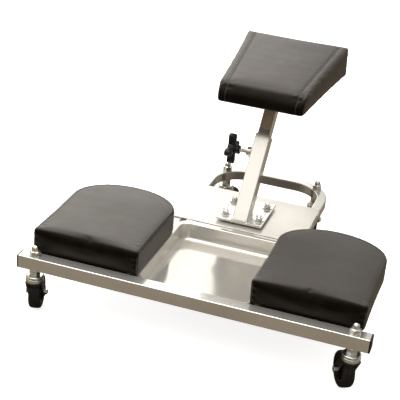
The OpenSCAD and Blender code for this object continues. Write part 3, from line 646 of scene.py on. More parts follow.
@dataclass
class Cushion:
    """A foam cushion under a sewn vinyl cover, over the space of one CAD cushion."""

    node: str
    board: str
    body: str
    waterfall: float
    edge: float = 5 * MM
    swell_cap: float = 5 * MM
    voxel: float = 3.2 * MM
    pressure: float = 4.0
    stiffness: float = 18.0
    bending: float = 1.5
    frames: int = 20
    slack: float = 1.6 * MM
    groove: float = 2.1 * MM
    seam_step: float = 1.5 * MM
    seam_reach: float = 14 * MM
    pucker: float = 0.35 * MM
    least_pucker: float = 0.09 * MM
    pucker_fade: float = 16 * MM
    fold_at: float = 5 * MM
    fold_wide: float = 4 * MM
    uneven: Profile = ((22, 0.25 * MM), (75, 0.06 * MM))
    hold: float = 0.75
    hold_reach: float = 6 * MM
    board_room: float = 6.7 * MM
    stitch_step: float = 4.2 * MM
    stitch_size: tuple[float, float, float] = (1.6 * MM, 0.42 * MM, 0.36 * MM)
    welt: float = 0.75 * MM
    staple_inset: float = 15 * MM
    staple_step: float = 21 * MM
    staple_size: tuple[float, float, float] = (10 * MM, 1.1 * MM, 0.6 * MM)
    hem_rows: Profile = ((3.4, 0.0), (3.4, 0.45), (22.0, 0.45), (24.5, 0.3), (24.5, 0.0), (12.0, 0.0))

    def __post_init__(self) -> None:
        """Reads the space that the CAD cushion holds."""
        self.name = self.node + ".cover"
        self.low, self.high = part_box(self.node)
        self.size = self.high - self.low
        self.middle = (self.low + self.high) / 2

    def plan(self) -> Ring:
        """Outline in plan about the middle of the front edge, counter-clockwise."""
        raise NotImplementedError

    def top(self, p: Vector, share: float) -> float:
        """Height of the cover at a point, where share is 0 at the rim and 1 in the middle."""
        raise NotImplementedError

    def foot(self, p: Vector, height: float) -> Vector:
        """Moves a point of the side by how far the foot stands out."""
        return p

    def shrunk(self, inset: float) -> Ring:
        """Plan drawn in by an inset on every side."""
        plan = self.plan()
        wide = max(p.x for p in plan) * 2
        long = max(p.y for p in plan)
        narrow, short = 1 - 2 * inset / wide, 1 - 2 * inset / long
        return [Vector((p.x * narrow, long / 2 + (p.y - long / 2) * short, 0)) for p in plan]

    def placed(self, p: Vector, z: float) -> Vector:
        """A point of the plan at a height, in the row frame, with the front edge rounded over."""
        over = max(0.0, self.waterfall - p.y)
        drop = self.waterfall - math.sqrt(max(0.0, self.waterfall**2 - over**2))
        z -= drop * max(0.0, min(1.0, z / (0.8 * self.top(p, 0.0))))
        q = self.foot(p, z)
        return Vector((self.middle.x + q.x, self.low.y + q.y, self.low.z + z))

    def below(self, p: Vector, z: float) -> Vector:
        """A point of the plan on the underside, at a height in the row frame."""
        return Vector((self.middle.x + p.x, self.low.y + p.y, z))

    def form(self) -> Mesh:
        """Closed body of the cushion before it swells, smaller than its space by the slack."""
        bm = bmesh.new()
        half, slack = min(self.size.x, self.size.y) / 2, self.slack
        rings = []
        under = ((0.7 * half, 0), (0.4 * half, 0), (12 * MM, 0), (2 * MM, 0))
        for inset, z in under + ((0.6 * MM, 1.2 * MM), (0, 4 * MM), (0, 12 * MM)):
            rings.append([self.placed(p, z) for p in self.shrunk(slack + inset)])
        for share in (0.45, 0.7):
            rings.append([self.placed(p, self.top(p, 0.0) * share) for p in self.shrunk(slack)])
        for turn in arc(0, 90, 5):
            ring = self.shrunk(slack + self.edge * (1 - math.cos(turn)))
            rings.append([self.placed(p, self.top(p, 0.0) - slack - self.edge * (1 - math.sin(turn))) for p in ring])
        for inset in (0.16, 0.28, 0.42, 0.58, 0.76, 0.94):
            share = 1 - (1 - inset) ** 2
            rings.append([self.placed(p, self.top(p, share) - slack) for p in self.shrunk(inset * half)])
        loft(bm, rings)
        bmesh.ops.triangulate(bm, faces=[f for f in bm.faces if len(f.verts) > 4])
        bmesh.ops.recalc_face_normals(bm, faces=bm.faces[:])
        return bm

    def seams(self) -> list[tuple[list[Vector], float, bool]]:
        """Seam lines as (points, groove depth, stitched)."""
        raise NotImplementedError

    @staticmethod
    def evaluated(piece: bpy.types.Object) -> None:
        """Replaces an object's mesh by its shape with modifiers, and removes them."""
        graph = bpy.context.evaluated_depsgraph_get()
        mesh = bpy.data.meshes.new_from_object(piece.evaluated_get(graph), depsgraph=graph)
        piece.modifiers.clear()
        piece.data = mesh

    def inflate(self, piece: bpy.types.Object) -> None:
        """Lets the cover swell under pressure with its foot held, and caps how far each point moves."""
        mesh = piece.data
        start = [v.co.copy() for v in mesh.vertices]
        lines = tree_of([p for points, _, _ in self.seams() for p in points])
        held = piece.vertex_groups.new(name="held")
        for v in mesh.vertices:
            near = self.hold * math.exp(-((lines.find(v.co)[2] / self.hold_reach) ** 2))
            weight = 1.0 if v.co.z < self.low.z + 3 * MM else near
            held.add([v.index], weight, "REPLACE")
        cloth = piece.modifiers.new("cover", "CLOTH")
        rules = cloth.settings
        rules.quality, rules.mass = 6, 0.3
        rules.tension_stiffness = rules.compression_stiffness = self.stiffness
        rules.bending_stiffness = self.bending
        rules.use_pressure, rules.uniform_pressure_force = True, self.pressure
        rules.effector_weights.gravity = 0.0
        rules.vertex_group_mass = "held"
        cloth.point_cache.frame_start, cloth.point_cache.frame_end = 1, self.frames
        for step in range(1, self.frames + 1):
            bpy.context.scene.frame_set(step)
        self.evaluated(piece)
        bpy.context.scene.frame_set(1)
        piece.vertex_groups.clear()
        for v, p in zip(piece.data.vertices, start):
            move = v.co - p
            if move.length > self.swell_cap:
                v.co = p + move.normalized() * self.swell_cap

    def fitted(self, mesh: bpy.types.Mesh) -> None:
        """Scales the mesh into the CAD cushion's box."""
        low = Vector([min(v.co[k] for v in mesh.vertices) for k in range(3)])
        high = Vector([max(v.co[k] for v in mesh.vertices) for k in range(3)])
        for v in mesh.vertices:
            for k in range(3):
                v.co[k] = self.low[k] + (v.co[k] - low[k]) * self.size[k] / (high[k] - low[k])

    def carve(self, bm: Mesh) -> None:
        """Presses the seams into the cover, with puckers beside them."""
        bm.normal_update()
        moves = {}
        for points, depth, _ in self.seams():
            tree = tree_of(points)
            ends = (points[0], points[-1])
            for v in bm.verts:
                _, i, gap = tree.find(v.co)
                if gap < self.seam_reach:
                    close = min((v.co - e).length for e in ends)
                    groove = depth * math.exp(-((gap / self.groove) ** 2))
                    pucker = self.pucker * math.exp(-close / self.pucker_fade) + self.least_pucker
                    wave = math.sin(i * 0.75 + 2.0 * noise.noise(v.co * 60))
                    fold = pucker * wave * math.exp(-((gap - self.fold_at) / self.fold_wide) ** 2)
                    moves[v] = moves.get(v, 0.0) + groove + fold
        for v, move in moves.items():
            v.co -= v.normal * move
        for v in bm.verts:
            if v.co.z > self.low.z + 6 * MM:
                v.co += v.normal * sum(height * noise.noise(v.co * scale) for scale, height in self.uneven)

    def recess(self, piece: bpy.types.Object) -> None:
        """Cuts the seat of the board out of the underside."""
        low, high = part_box(self.board)
        bm = bmesh.new()
        ring = self.shrunk(self.board_room)
        loft(bm, [[self.below(p, z) for p in ring] for z in (low.z - 3 * MM, high.z + 0.3 * MM)])
        bmesh.ops.recalc_face_normals(bm, faces=bm.faces[:])
        cutter = meshed("board_cutter", bm)
        cut = piece.modifiers.new("recess", "BOOLEAN")
        cut.operation, cut.solver, cut.object = "DIFFERENCE", "EXACT", cutter
        self.evaluated(piece)
        bpy.data.objects.remove(cutter)

    def build(self, shop: Workshop) -> bpy.types.Object:
        """Builds the cover, its stitches and its hem.

        Args:
            shop: makes the pieces.
        Returns:
            The cover.
        """
        piece = shop.finish(self.name, self.form(), Finish.VINYL, self.body)
        remesh = piece.modifiers.new("even", "REMESH")
        remesh.mode, remesh.voxel_size = "VOXEL", self.voxel
        self.evaluated(piece)
        self.inflate(piece)
        smooth = piece.modifiers.new("finer", "SUBSURF")
        smooth.levels = smooth.render_levels = 1
        self.evaluated(piece)
        self.fitted(piece.data)
        bm = bmesh.new()
        bm.from_mesh(piece.data)
        self.carve(bm)
        bm.to_mesh(piece.data)
        skin = BVHTree.FromBMesh(bm)
        bm.free()
        self.recess(piece)
        piece.data.materials.clear()
        piece.data.materials.append(shop.palette.made[Finish.VINYL])
        piece.data.shade_smooth()
        piece.data.set_sharp_from_angle(angle=math.radians(50))
        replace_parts(piece, self.node)
        self.stitch(shop, skin)
        self.welts(shop, skin)
        self.hem(shop)
        return piece

    def stitch(self, shop: Workshop, skin: BVHTree) -> None:
        """Lays thread stitches on the cover beside the stitched seams."""
        bm = bmesh.new()
        for points, _, stitched in self.seams():
            spots = spaced(points, self.stitch_step) if stitched else []
            for a, b in zip(spots, spots[1:]):
                spot, normal, _, _ = skin.find_nearest((a + b) / 2)
                along = (b - a).normalized()
                side = normal.cross(along).normalized()
                turn = Matrix((along, side, along.cross(side))).transposed().to_4x4()
                shape = Matrix.Diagonal((*self.stitch_size, 1.0))
                place = Matrix.Translation(spot + normal * 0.08 * MM)
                bmesh.ops.create_uvsphere(bm, u_segments=8, v_segments=6, radius=1.0, matrix=place @ turn @ shape)
        shop.finish(self.name + ".stitches", bm, Finish.THREAD, self.body)

    def welts(self, shop: Workshop, skin: BVHTree) -> None:
        """Lays a thin welt in each seam that joins two panels."""
        bm = bmesh.new()
        for points, _, stitched in self.seams():
            if stitched:
                continue
            path = []
            for p in spaced(points, 2.5 * MM):
                spot, normal, _, _ = skin.find_nearest(p)
                path.append(spot + normal * 0.15 * MM)
            bead(bm, path, self.welt, 40 * MM)
        shop.finish(self.name + ".welts", bm, Finish.PIPING, self.body)

    def hem(self, shop: Workshop) -> None:
        """Folds the cover's hem under the board, with its staples."""
        low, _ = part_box(self.board)
        bm = bmesh.new()
        rings = []
        for inset, drop in in_mm(self.hem_rows):
            ring = []
            for i, p in enumerate(self.shrunk(inset)):
                wave = abs(0.12 * MM * math.sin(i * 1.7)) if inset > 10 * MM else 0.0
                ring.append(self.below(p, low.z - drop - wave))
            rings.append(ring)
        loft(bm, rings, close=True)
        shop.finish(self.name + ".hem", bm, Finish.VINYL, self.body)
        bm = bmesh.new()
        ring = self.shrunk(self.staple_inset)
        spots = spaced(ring + ring[:1], self.staple_step)
        for a, b in zip(spots, spots[1:]):
            spot = self.below(a, low.z - 0.55 * MM)
            turn = Matrix.Rotation(math.atan2((b - a).y, (b - a).x) + 0.25 * math.sin(a.x * 900), 4, "Z")
            block(bm, Matrix.Translation(spot) @ turn, self.staple_size, 0.2 * MM)
        shop.finish(self.name + ".staples", bm, Finish.ZINC, self.body)


@dataclass
class KneeCushion(Cushion):
    """Knee pad: straight front and sides, a round rear end, one seam round the top and one down each front corner."""

    waterfall: float = 9 * MM
    edge: float = 4 * MM
    swell_cap: float = 2.5 * MM
    side: float = 177 * MM
    corner: float = 4 * MM
    draw: float = 1.2 * MM
    crown: float = 3 * MM

    def plan(self) -> Ring:
        """Outline from the middle of the front edge, counter-clockwise."""
        half, c = self.size.x / 2, self.corner
        out = [Vector((x * (half - c) / 6, self.draw * math.cos(x * math.pi / 12), 0)) for x in range(0, 6)]
        out += self.turn(Vector((half - c, c, 0)), c, c, -90, 0, 7)
        for i in range(1, 20):
            out.append(Vector((half - self.draw * math.sin(math.pi * i / 20), c + (self.side - c) * i / 20, 0)))
        out += self.turn(Vector((0, self.side, 0)), half, self.size.y - self.side, 0, 90, 22)
        return out + [Vector((-p.x, p.y, 0)) for p in reversed(out[1:-1])]

    @staticmethod
    def turn(c: Vector, rx: float, ry: float, a: float, b: float, n: int) -> Ring:
        """Returns points on an elliptical arc between two angles in degrees."""
        return [c + Vector((rx * math.cos(t), ry * math.sin(t), 0)) for t in arc(a, b, n)]

    def top(self, p: Vector, share: float) -> float:
        """Rises from the rim to the crown."""
        return self.size.z - self.crown * (1 - share)

    def seams(self) -> list[tuple[list[Vector], float, bool]]:
        """Seam under the top edge, topstitching inside it, and seams down the front corners."""
        rim = self.size.z - self.crown
        outline = self.shrunk(0.6 * MM)
        cut = [p for p in outline if p.y > 7 * MM]
        around = spaced([self.placed(p, rim - 5.5 * MM) for p in cut], self.seam_step)
        inner = [p for p in self.shrunk(7.5 * MM) if p.y > 14 * MM]
        stitch = spaced([self.placed(p, self.top(p, 0.1)) for p in inner], self.seam_step)
        lines = [(around, 1.1 * MM, False), (stitch, 0.45 * MM, True)]
        for s in (-1, 1):
            x = s * (self.size.x / 2 - 2.4 * MM)
            corner = [self.placed(Vector((x, 2.4 * MM, 0)), rim * k) for k in (0.06, 0.5, 0.86)]
            lines.append((spaced(corner, self.seam_step), 0.8 * MM, False))
        return lines


@dataclass
class SeatCushion(Cushion):
    """Wedge seat: narrow and low at the front, with a sewn strip along each side of the top."""

    waterfall: float = 30 * MM
    edge: float = 2.5 * MM
    front: float = 168 * MM
    rear: float = 213 * MM
    long: float = 276 * MM
    low_front: float = 37 * MM
    high_rear: float = 65 * MM
    kick: float = 15 * MM
    corner: float = 6 * MM
    strip: float = 14 * MM
    crown: float = 2 * MM
    draw: float = 1.5 * MM

    def plan(self) -> Ring:
        """Outline from the middle of the front edge, counter-clockwise."""
        f, b, c = self.front / 2, self.rear / 2, self.corner
        lean = (b - f) / self.long
        out = [Vector((x * (f - c) / 6, 0, 0)) for x in range(0, 6)]
        out += KneeCushion.turn(Vector((f - c, c, 0)), c, c, -90, 0, 7)
        for i in range(1, 22):
            y = c + (self.long - 2 * c) * i / 22
            out.append(Vector((f + lean * y - self.draw * math.sin(math.pi * i / 22), y, 0)))
        out += KneeCushion.turn(Vector((b - c, self.long - c, 0)), c, c, 0, 90, 7)
        for x in range(5, -1, -1):
            out.append(Vector((x * (b - c) / 6, self.long - self.draw * math.cos(x * math.pi / 12), 0)))
        return out + [Vector((-p.x, p.y, 0)) for p in reversed(out[1:-1])]

    def top(self, p: Vector, share: float) -> float:
        """Slopes up to the rear, with a little crown."""
        t = p.y / self.long
        return self.low_front + (self.high_rear - self.low_front) * t + self.crown * share

    def foot(self, p: Vector, height: float) -> Vector:
        """The foot stands out at the rear."""
        t = p.y / self.long
        share = max(0.0, 1 - height / self.top(p, 0.0))
        return Vector((p.x, p.y + self.kick * t * share**1.4, p.z))

    def seams(self) -> list[tuple[list[Vector], float, bool]]:
        """Seams along both strips and down the front, and down the rear corners."""
        lines = []
        rear_end = int(self.long / MM)
        for s in (-1, 1):

            def edge(y: float, inset: float, side: int = s) -> Vector:
                """Point on the top at an inset from the side edge."""
                half = self.front / 2 + (self.rear - self.front) / 2 * y / self.long
                return Vector((side * (half - inset), y, 0))

            def run(inset: float, share: float, first: int, last: int) -> list[Vector]:
                """Points along the top from rear to front, at an inset from the side edge."""
                steps = [y * MM for y in range(first, last, -4)]
                return [self.placed(edge(y, inset), self.top(edge(y, 0), share)) for y in steps]

            front = [self.placed(edge(0, self.strip), z * MM) for z in (6, 3)]
            rear = [self.placed(edge(self.long - 3 * MM, 3 * MM), z * MM) for z in (5, 30, 56)]
            inner = run(self.strip + 3 * MM, 0.14, rear_end - 6, 3)
            lines.append((spaced(run(self.strip, 0.12, rear_end - 3, 1) + front, self.seam_step), 0.9 * MM, False))
            lines.append((spaced(inner, self.seam_step), 0.25 * MM, True))
            lines.append((spaced(rear, self.seam_step), 0.6 * MM, False))
        return lines


@dataclass
class Tray:
    """Pressed tray with rounded corners, leaning walls and a flat rim, over the CAD tray."""

    sheet: float = 1.2 * MM
    half_x: float = 101 * MM
    front_rim: float = 3.75 * MM
    rear_space: float = 14.6 * MM
    rear_rim: float = 13.8 * MM
    lean: float = 3 * MM
    fillet: float = 8 * MM
    lip: float = 2.2 * MM
    flat: float = 5 * MM
    burr: float = 0.4 * MM
    corner: float = 20 * MM
    least_corner: float = 1.2 * MM

    def section(self, depth: float, reach: float) -> list[tuple[float, float]]:
        """Cut through a wall, from the floor over the rim and back under it.

        Args:
            depth: height of the tray.
            reach: how far the rim reaches past the wall.
        Returns:
            Pairs of distance outwards and height from the rim's top.
        """
        r = self.fillet
        floor = self.sheet - depth
        over = [(-self.lean - r * (1 - math.sin(t)), floor + r * (1 - math.cos(t))) for t in arc(0, 90, 9)]
        over.append((-1.6 * MM, -10 * MM))
        under = [(out + self.sheet, max(z - self.sheet, -depth)) for out, z in reversed(over)]
        over += [(self.lip * (1 - math.cos(t)), -self.lip * (1 - math.sin(t))) for t in arc(0, 90, 6)]
        over += [(self.flat, 0.0), (reach - self.burr, 0.0), (reach, -self.burr), (reach, -self.sheet)]
        return over + [(3.4 * MM, -self.sheet)] + under

    def build(self, shop: Workshop) -> None:
        """Builds the pressing, whose rim stops just short of the rear plate."""
        low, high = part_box("tool_tray")
        middle = Vector((0, (low.y + self.front_rim + high.y - self.rear_space) / 2, high.z))
        half_y = high.y - self.rear_space - middle.y
        rings = []
        for out, z in self.section(high.z - low.z, (high.x - low.x) / 2 - self.half_x):
            long = min(out, self.front_rim)
            radius = max(self.corner + out, self.least_corner)
            extra = self.rear_rim - long if out > self.lip + 0.1 * MM else 0.0
            plan = rounded(self.half_x + out, half_y + long, radius, 12)
            rings.append([middle + Vector((x, y + (extra if y > 0 else 0.0), z)) for x, y in plan])
        bm = bmesh.new()
        loft(bm, rings)
        shop.stand_in("tool_tray", "pressing", bm, Finish.TRAY_PAINT, "frame", sharp=40)


@dataclass
class Chassis:
    """Rail, loop, plate and pad carriers: a welded frame in silver paint."""

    tube_corner: float = 2 * MM
    fillet: tuple[float, float] = (1.7 * MM, 2.4 * MM)
    tack: tuple[float, float] = (1.3 * MM, 2.2 * MM)
    tack_length: float = 21 * MM
    dome: Profile = ((0.0, 0.15), (0.0, 0.0), (0.78, 0.0), (0.93, 0.2), (1.0, 0.7))
    plug: Profile = ((-12.0, 10.6), (-0.4, 10.9))
    plate_welds: tuple[int, ...] = (14, 74, 134)

    def build(self, shop: Workshop) -> None:
        """Builds the caps and the weld beads."""
        self.caps(shop)
        self.welds(shop)

    def dress(self, shop: Workshop) -> None:
        """Gives the frame's CAD nodes their paint."""
        shop.dress(("front_rail", "rear_loop"), Finish.FRAME_PAINT)
        shop.dress(("rear_plate",), Finish.PLATE_PAINT, 0.6 * MM)
        shop.dress(("left_pad_carrier", "right_pad_carrier"), Finish.BLACK_STEEL, 0.5 * MM)
        shop.dress(("left_pad_board", "right_pad_board", "seat_board"), Finish.PLYWOOD, 0.4 * MM)

    def caps(self, shop: Workshop) -> None:
        """Domed end caps on the front rail, with their plugs, over the CAD caps."""
        low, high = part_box("rail_end_caps")
        rail_low, rail_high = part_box("front_rail")
        mid = (rail_low + rail_high) / 2
        half = (rail_high.z - rail_low.z) / 2
        bm = bmesh.new()
        for s, end, start in ((-1, low.x, rail_low.x), (1, high.x, rail_high.x)):
            rings = []
            for depth, size in in_mm(self.plug):
                rings.append((start + s * depth, rounded(size, size, 0.15 * size, 6)))
            for share, inset in self.dome:
                size, radius = half - inset * MM, max(self.tube_corner - inset * MM, 1 * MM)
                rings.append((start + s * abs(end - start) * share, rounded(size, size, radius, 6)))
            loft(bm, [[Vector((x, mid.y + y, mid.z + z)) for y, z in ring] for x, ring in rings])
        shop.stand_in("rail_end_caps", "moulding", bm, Finish.BLACK_PLASTIC, "frame")

    def welds(self, shop: Workshop) -> None:
        """Fillet beads where the loop meets the rail and where the plate lies on the loop."""
        _, rail_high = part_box("front_rail")
        low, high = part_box("rear_loop")
        plate_low, plate_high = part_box("rear_plate")
        bm = bmesh.new()
        y = rail_high.y + 0.6 * MM
        for s in (-1, 1):
            for x in (s * high.x, s * (high.x - 20 * MM)):
                bottom, top = Vector((x, y, low.z + 3 * MM)), Vector((x, y, low.z + 17 * MM))
                bead(bm, line(bottom, top, 14), *self.fillet)
            for z in (high.z, low.z):
                inner, outer = Vector((s * (high.x - 17 * MM), y, z)), Vector((s * (high.x - 3 * MM), y, z))
                bead(bm, line(inner, outer, 14), *self.fillet)
            for start in self.plate_welds:
                first = Vector((s * (plate_high.x + 0.2 * MM), plate_low.y + start * MM, plate_low.z))
                bead(bm, line(first, first + Vector((0, self.tack_length, 0)), 21), *self.tack)
        shop.finish("frame_welds", bm, Finish.FRAME_PAINT, "frame")


@dataclass
class PostFoot:
    """Base plate on rubber bushings, with its bolts, washers and nuts."""

    flats: float = 13 * MM
    shank: float = 4 * MM
    pitch: float = 1.25 * MM
    tube_half: float = 15 * MM
    fillet: tuple[float, float] = (1.9 * MM, 2.6 * MM)

    def build(self, shop: Workshop) -> None:
        """Builds the bolts and nuts, and the bead round the post's foot."""
        low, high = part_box("base_bolts")
        _, plate_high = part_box("post_base_plate")
        washer_low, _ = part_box("base_washers")
        nut_low, nut_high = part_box("base_nuts")
        reach = self.flats / 2
        corner = reach / math.cos(math.pi / 6)
        head, seat, thick = washer_low.z - low.z, nut_low.z - low.z, nut_high.z - nut_low.z
        bolts, nuts = bmesh.new(), bmesh.new()
        for i, x in enumerate((low.x + corner, high.x - corner)):
            for j, y in enumerate((low.y + reach, high.y - reach)):
                bolt = Stack(Vector((x, y, low.z)), UP, spin=0.5 * i + 0.8 * j)
                bolt.turned([(0.25 * MM, 4.6 * MM), (0.1 * MM, 5.2 * MM)]).hexagon(0.0, self.flats, head - 0.2 * MM)
                bolt.turned([(head, 5.7 * MM), (head, self.shank), (seat, self.shank)])
                bolt.thread(seat + 0.3 * MM, high.z - nut_low.z - 1.1 * MM, self.shank, self.pitch)
                bolt.turned([(high.z - low.z - 0.5 * MM, 3.3 * MM), (high.z - low.z, 2.6 * MM)]).into(bolts)
                nut = Stack(Vector((x, y, nut_low.z)), UP, spin=0.3 + i)
                nut.turned([(0.4 * MM, 4.1 * MM)]).hexagon(0.0, self.flats, thick)
                nut.turned([(thick - 0.4 * MM, 4.1 * MM)])
                loft(nuts, nut.rings, close=True)
        shop.stand_in("base_bolts", "turned", bolts, Finish.ZINC, "frame")
        shop.stand_in("base_nuts", "turned", nuts, Finish.ZINC, "frame")
        tube_low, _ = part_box("post_outer_tube")
        bm = bmesh.new()
        middle = Vector((0, tube_low.y + self.tube_half / math.cos(LEAN), plate_high.z + 0.3 * MM))
        bead(bm, round_tube(middle, self.tube_half, 22), *self.fillet, closed=True)
        shop.finish("post_foot_weld", bm, Finish.FRAME_PAINT, "frame")

    def dress(self, shop: Workshop) -> None:
        """Gives the foot's CAD nodes their finishes."""
        shop.dress(("post_base_plate",), Finish.FRAME_PAINT, 0.7 * MM)
        shop.dress(("base_washers",), Finish.ZINC, 0.25 * MM)
        shop.dress(("rubber_bushings",), Finish.RUBBER, 0.6 * MM)


@dataclass
class SeatPost:
    """Leaning telescopic post with its clamp and cross knob."""

    knob_radius: float = 32 * MM
    lobe: float = 7.5 * MM
    arm: float = 6 * MM
    hub: float = 12 * MM
    neck_length: float = 10 * MM
    screw: float = 4 * MM
    pitch: float = 1.25 * MM
    plain_end: float = 7.6 * MM
    tube_half: float = 12.5 * MM
    boss: float = 11.3 * MM
    boss_fillet: tuple[float, float] = (1.4 * MM, 2.3 * MM)
    tube_fillet: tuple[float, float] = (1.7 * MM, 2.4 * MM)
    edge: Profile = ((0.0, 3.0), (0.35, 1.6), (1.1, 0.6), (2.6, 0.0))
    neck: Profile = (
        (2, 4.1), (0, 4.6), (0, 7.4), (1.2, 8.8), (2.4, 9), (9, 8.6), (11.5, 9.6), (13, 9.8)
    )

    def build(self, shop: Workshop) -> None:
        """Builds the clamp screw, the knob and the welds."""
        low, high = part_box("clamp_screw")
        knob_low, knob_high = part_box("clamp_knob")
        _, boss_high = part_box("clamp_boss")
        axis = Vector((-1, 0, 0))
        tip = Vector((high.x, (low.y + high.y) / 2, (low.z + high.z) / 2))
        length = high.x - low.x
        bm = bmesh.new()
        rod = Stack(tip, axis, count=32).turned([(0.0, 3.0 * MM)])
        rod.thread(0.2 * MM, length - self.plain_end - 0.4 * MM, self.screw, self.pitch)
        rod.turned([(length - self.plain_end, self.screw), (length, self.screw)]).into(bm)
        shop.stand_in("clamp_screw", "thread", bm, Finish.ZINC, "clamp_knob")
        bm = bmesh.new()
        Stack(Vector((knob_high.x, tip.y, tip.z)), axis).turned(in_mm(self.neck)).into(bm)
        inner = knob_high.x - self.neck_length
        self.cross(bm, Vector((inner, tip.y, tip.z)), axis, inner - knob_low.x)
        shop.stand_in("clamp_knob", "moulding", bm, Finish.BLACK_PLASTIC, "clamp_knob", sharp=50)
        bm = bmesh.new()
        ring = circle(Vector((boss_high.x - 0.4 * MM, tip.y, tip.z)), Vector((0, 1, 0)), UP, self.boss, 64)
        bead(bm, ring, *self.boss_fillet, closed=True)
        shop.finish("boss_weld", bm, Finish.FRAME_PAINT, "frame")
        _, tube_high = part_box("post_inner_tube")
        middle = Vector((0, tube_high.y - self.tube_half / math.cos(LEAN), tube_high.z - 0.3 * MM))
        bm = bmesh.new()
        bead(bm, round_tube(middle, self.tube_half, 20), *self.tube_fillet, closed=True)
        shop.finish("seat_bracket_weld", bm, Finish.BLACK_STEEL, "seat")

    def cross(self, bm: Mesh, at: Vector, axis: Vector, thick: float) -> None:
        """Adds the knob's cross with rounded edges and a shallow dish in its face.

        Args:
            bm: the mesh that gets it.
            at: middle of its inner face.
            axis: unit vector out of its outer face.
            thick: its thickness.
        """
        reach = self.knob_radius - self.lobe

        def radius(t: float, inset: float) -> float:
            """Outline radius at an angle, drawn in by the inset."""
            best = self.hub - inset
            turn = (t + math.pi / 4) % (math.pi / 2) - math.pi / 4
            half, lobe = self.arm - inset, self.lobe - inset
            if abs(math.tan(turn)) * reach < half:
                best = max(best, reach / math.cos(turn))
            else:
                best = max(best, half / abs(math.sin(turn)))
            if abs(reach * math.sin(turn)) < lobe:
                best = max(best, reach * math.cos(turn) + math.sqrt(lobe**2 - (reach * math.sin(turn)) ** 2))
            return best

        stack = Stack(at, axis, spin=0.0, count=192)
        for z, inset in self.edge:
            stack.ring(lambda t, z=z: z * MM, lambda t, i=inset * MM: radius(t, i))
        for z, inset in reversed(self.edge):
            stack.ring(lambda t, z=z: thick - z * MM, lambda t, i=inset * MM: radius(t, i))
        stack.turned([(thick - 0.1 * MM, 8.2 * MM), (thick - 1.1 * MM, 7.6 * MM), (thick - 1.1 * MM, 3 * MM)])
        stack.into(bm)

    def dress(self, shop: Workshop) -> None:
        """Gives the post's CAD nodes their finishes."""
        shop.dress(("post_outer_tube", "post_inner_tube"), Finish.FRAME_PAINT)
        shop.dress(("clamp_boss",), Finish.FRAME_PAINT, 0.6 * MM)
        shop.dress(("clamp_pad",), Finish.WHITE_PLASTIC)
        shop.dress(("seat_bracket",), Finish.BLACK_STEEL, 0.6 * MM)
        shop.dress(("seat_screws", "pad_screws"), Finish.ZINC, 0.3 * MM)


@dataclass
class Caster:
    """One swivel caster, placed from its two joints, with half profiles in mm along the axle and out from it."""

    corner: str
    tread: Profile = (
        (-10.2, 24.0), (-10.8, 25.0), (-11.0, 27.4), (-10.4, 29.4), (-8.9, 31.0), (-6.6, 31.8), (-4.5, 32.0),
        (-4.2, 31.5), (-3.8, 31.5), (-3.5, 32.0),
    )
    centre: Profile = (
        (-12.7, 3.06), (-12.7, 6.6), (-12.2, 7.2), (-6.0, 7.8), (-4.6, 9.0), (-4.2, 12.0), (-4.2, 17.5), (-5.5, 19.2),
        (-9.2, 20.2), (-9.8, 20.8), (-9.8, 23.2), (-9.4, 23.9),
    )
    ribs: int = 8
    rib_at: tuple[float, float] = (13.4 * MM, 5.6 * MM)
    rib_size: tuple[float, float, float] = (13 * MM, 1.6 * MM, 3.6 * MM)
    fork_half: float = 15.5 * MM
    bolt_flats: float = 10 * MM
    bolt_head: float = 4 * MM
    bolt_radius: float = 3 * MM

    def __post_init__(self) -> None:
        """Reads the swivel's and the axle's places."""
        joints = {j["name"]: j for j in frame["joints"]}
        self.stem = Vector(joints[self.corner + "_swivel"]["pos_m"])
        roll = joints[self.corner + "_roll"]
        self.hub = Vector(roll["pos_m"])
        self.axle = Vector(roll["axis"])

    def ring_of(self, half: Profile) -> Mesh:
        """Returns a closed ring about the axle whose section is half a profile and its mirror image."""
        rows = list(half) + [(-z, r) for z, r in reversed(half)]
        bm = bmesh.new()
        loft(bm, Stack(self.hub, self.axle, count=96).turned(in_mm(rows)).rings, close=True)
        return bm

    def build(self, shop: Workshop) -> None:
        """Builds the tyre, the wheel centre with its ribs, and the axle bolt."""
        wheel = f"{self.corner}_wheel"
        shop.stand_in(f"{self.corner}_tyre", "tread", self.ring_of(self.tread), Finish.TYRE, wheel)
        bm = self.ring_of(self.centre)
        across = self.axle.orthogonal().normalized()
        for way in (-1, 1):
            for i in range(self.ribs):
                out = Matrix.Rotation(2 * math.pi / self.ribs * i, 3, self.axle) @ across
                place = self.hub + out * self.rib_at[0] + self.axle * way * self.rib_at[1]
                turn = Matrix((out, self.axle.cross(out), self.axle)).transposed().to_4x4()
                block(bm, Matrix.Translation(place) @ turn, self.rib_size, 0.4 * MM)
        shop.stand_in(f"{self.corner}_hub", "moulding", bm, Finish.BLACK_PLASTIC, wheel)
        self.bolt(shop)

    def bolt(self, shop: Workshop) -> None:
        """Axle bolt with its head on one side and its nut on the other."""
        half, head, radius = self.fork_half, self.bolt_head, self.bolt_radius
        rod = Stack(self.hub, self.axle)
        rod.turned([(-half - 3.7 * MM, 2.0 * MM)]).hexagon(-half - head, self.bolt_flats, head)
        rod.turned([(-half, radius), (half, radius)]).hexagon(half, self.bolt_flats, head)
        rod.turned([(half + 3.7 * MM, radius)]).thread(half + 3.8 * MM, 1.4 * MM, radius, 0.7 * MM)
        rod.turned([(half + 5.4 * MM, 1.8 * MM)])
        bm = bmesh.new()
        rod.into(bm)
        shop.stand_in(f"{self.corner}_axle", "turned", bm, Finish.ZINC, f"{self.corner}_fork")

    def dress(self, shop: Workshop) -> None:
        """Gives the fork and race their finishes."""
        shop.dress((f"{self.corner}_fork",), Finish.BLACK_STEEL, 0.5 * MM)
        shop.dress((f"{self.corner}_race",), Finish.ZINC)


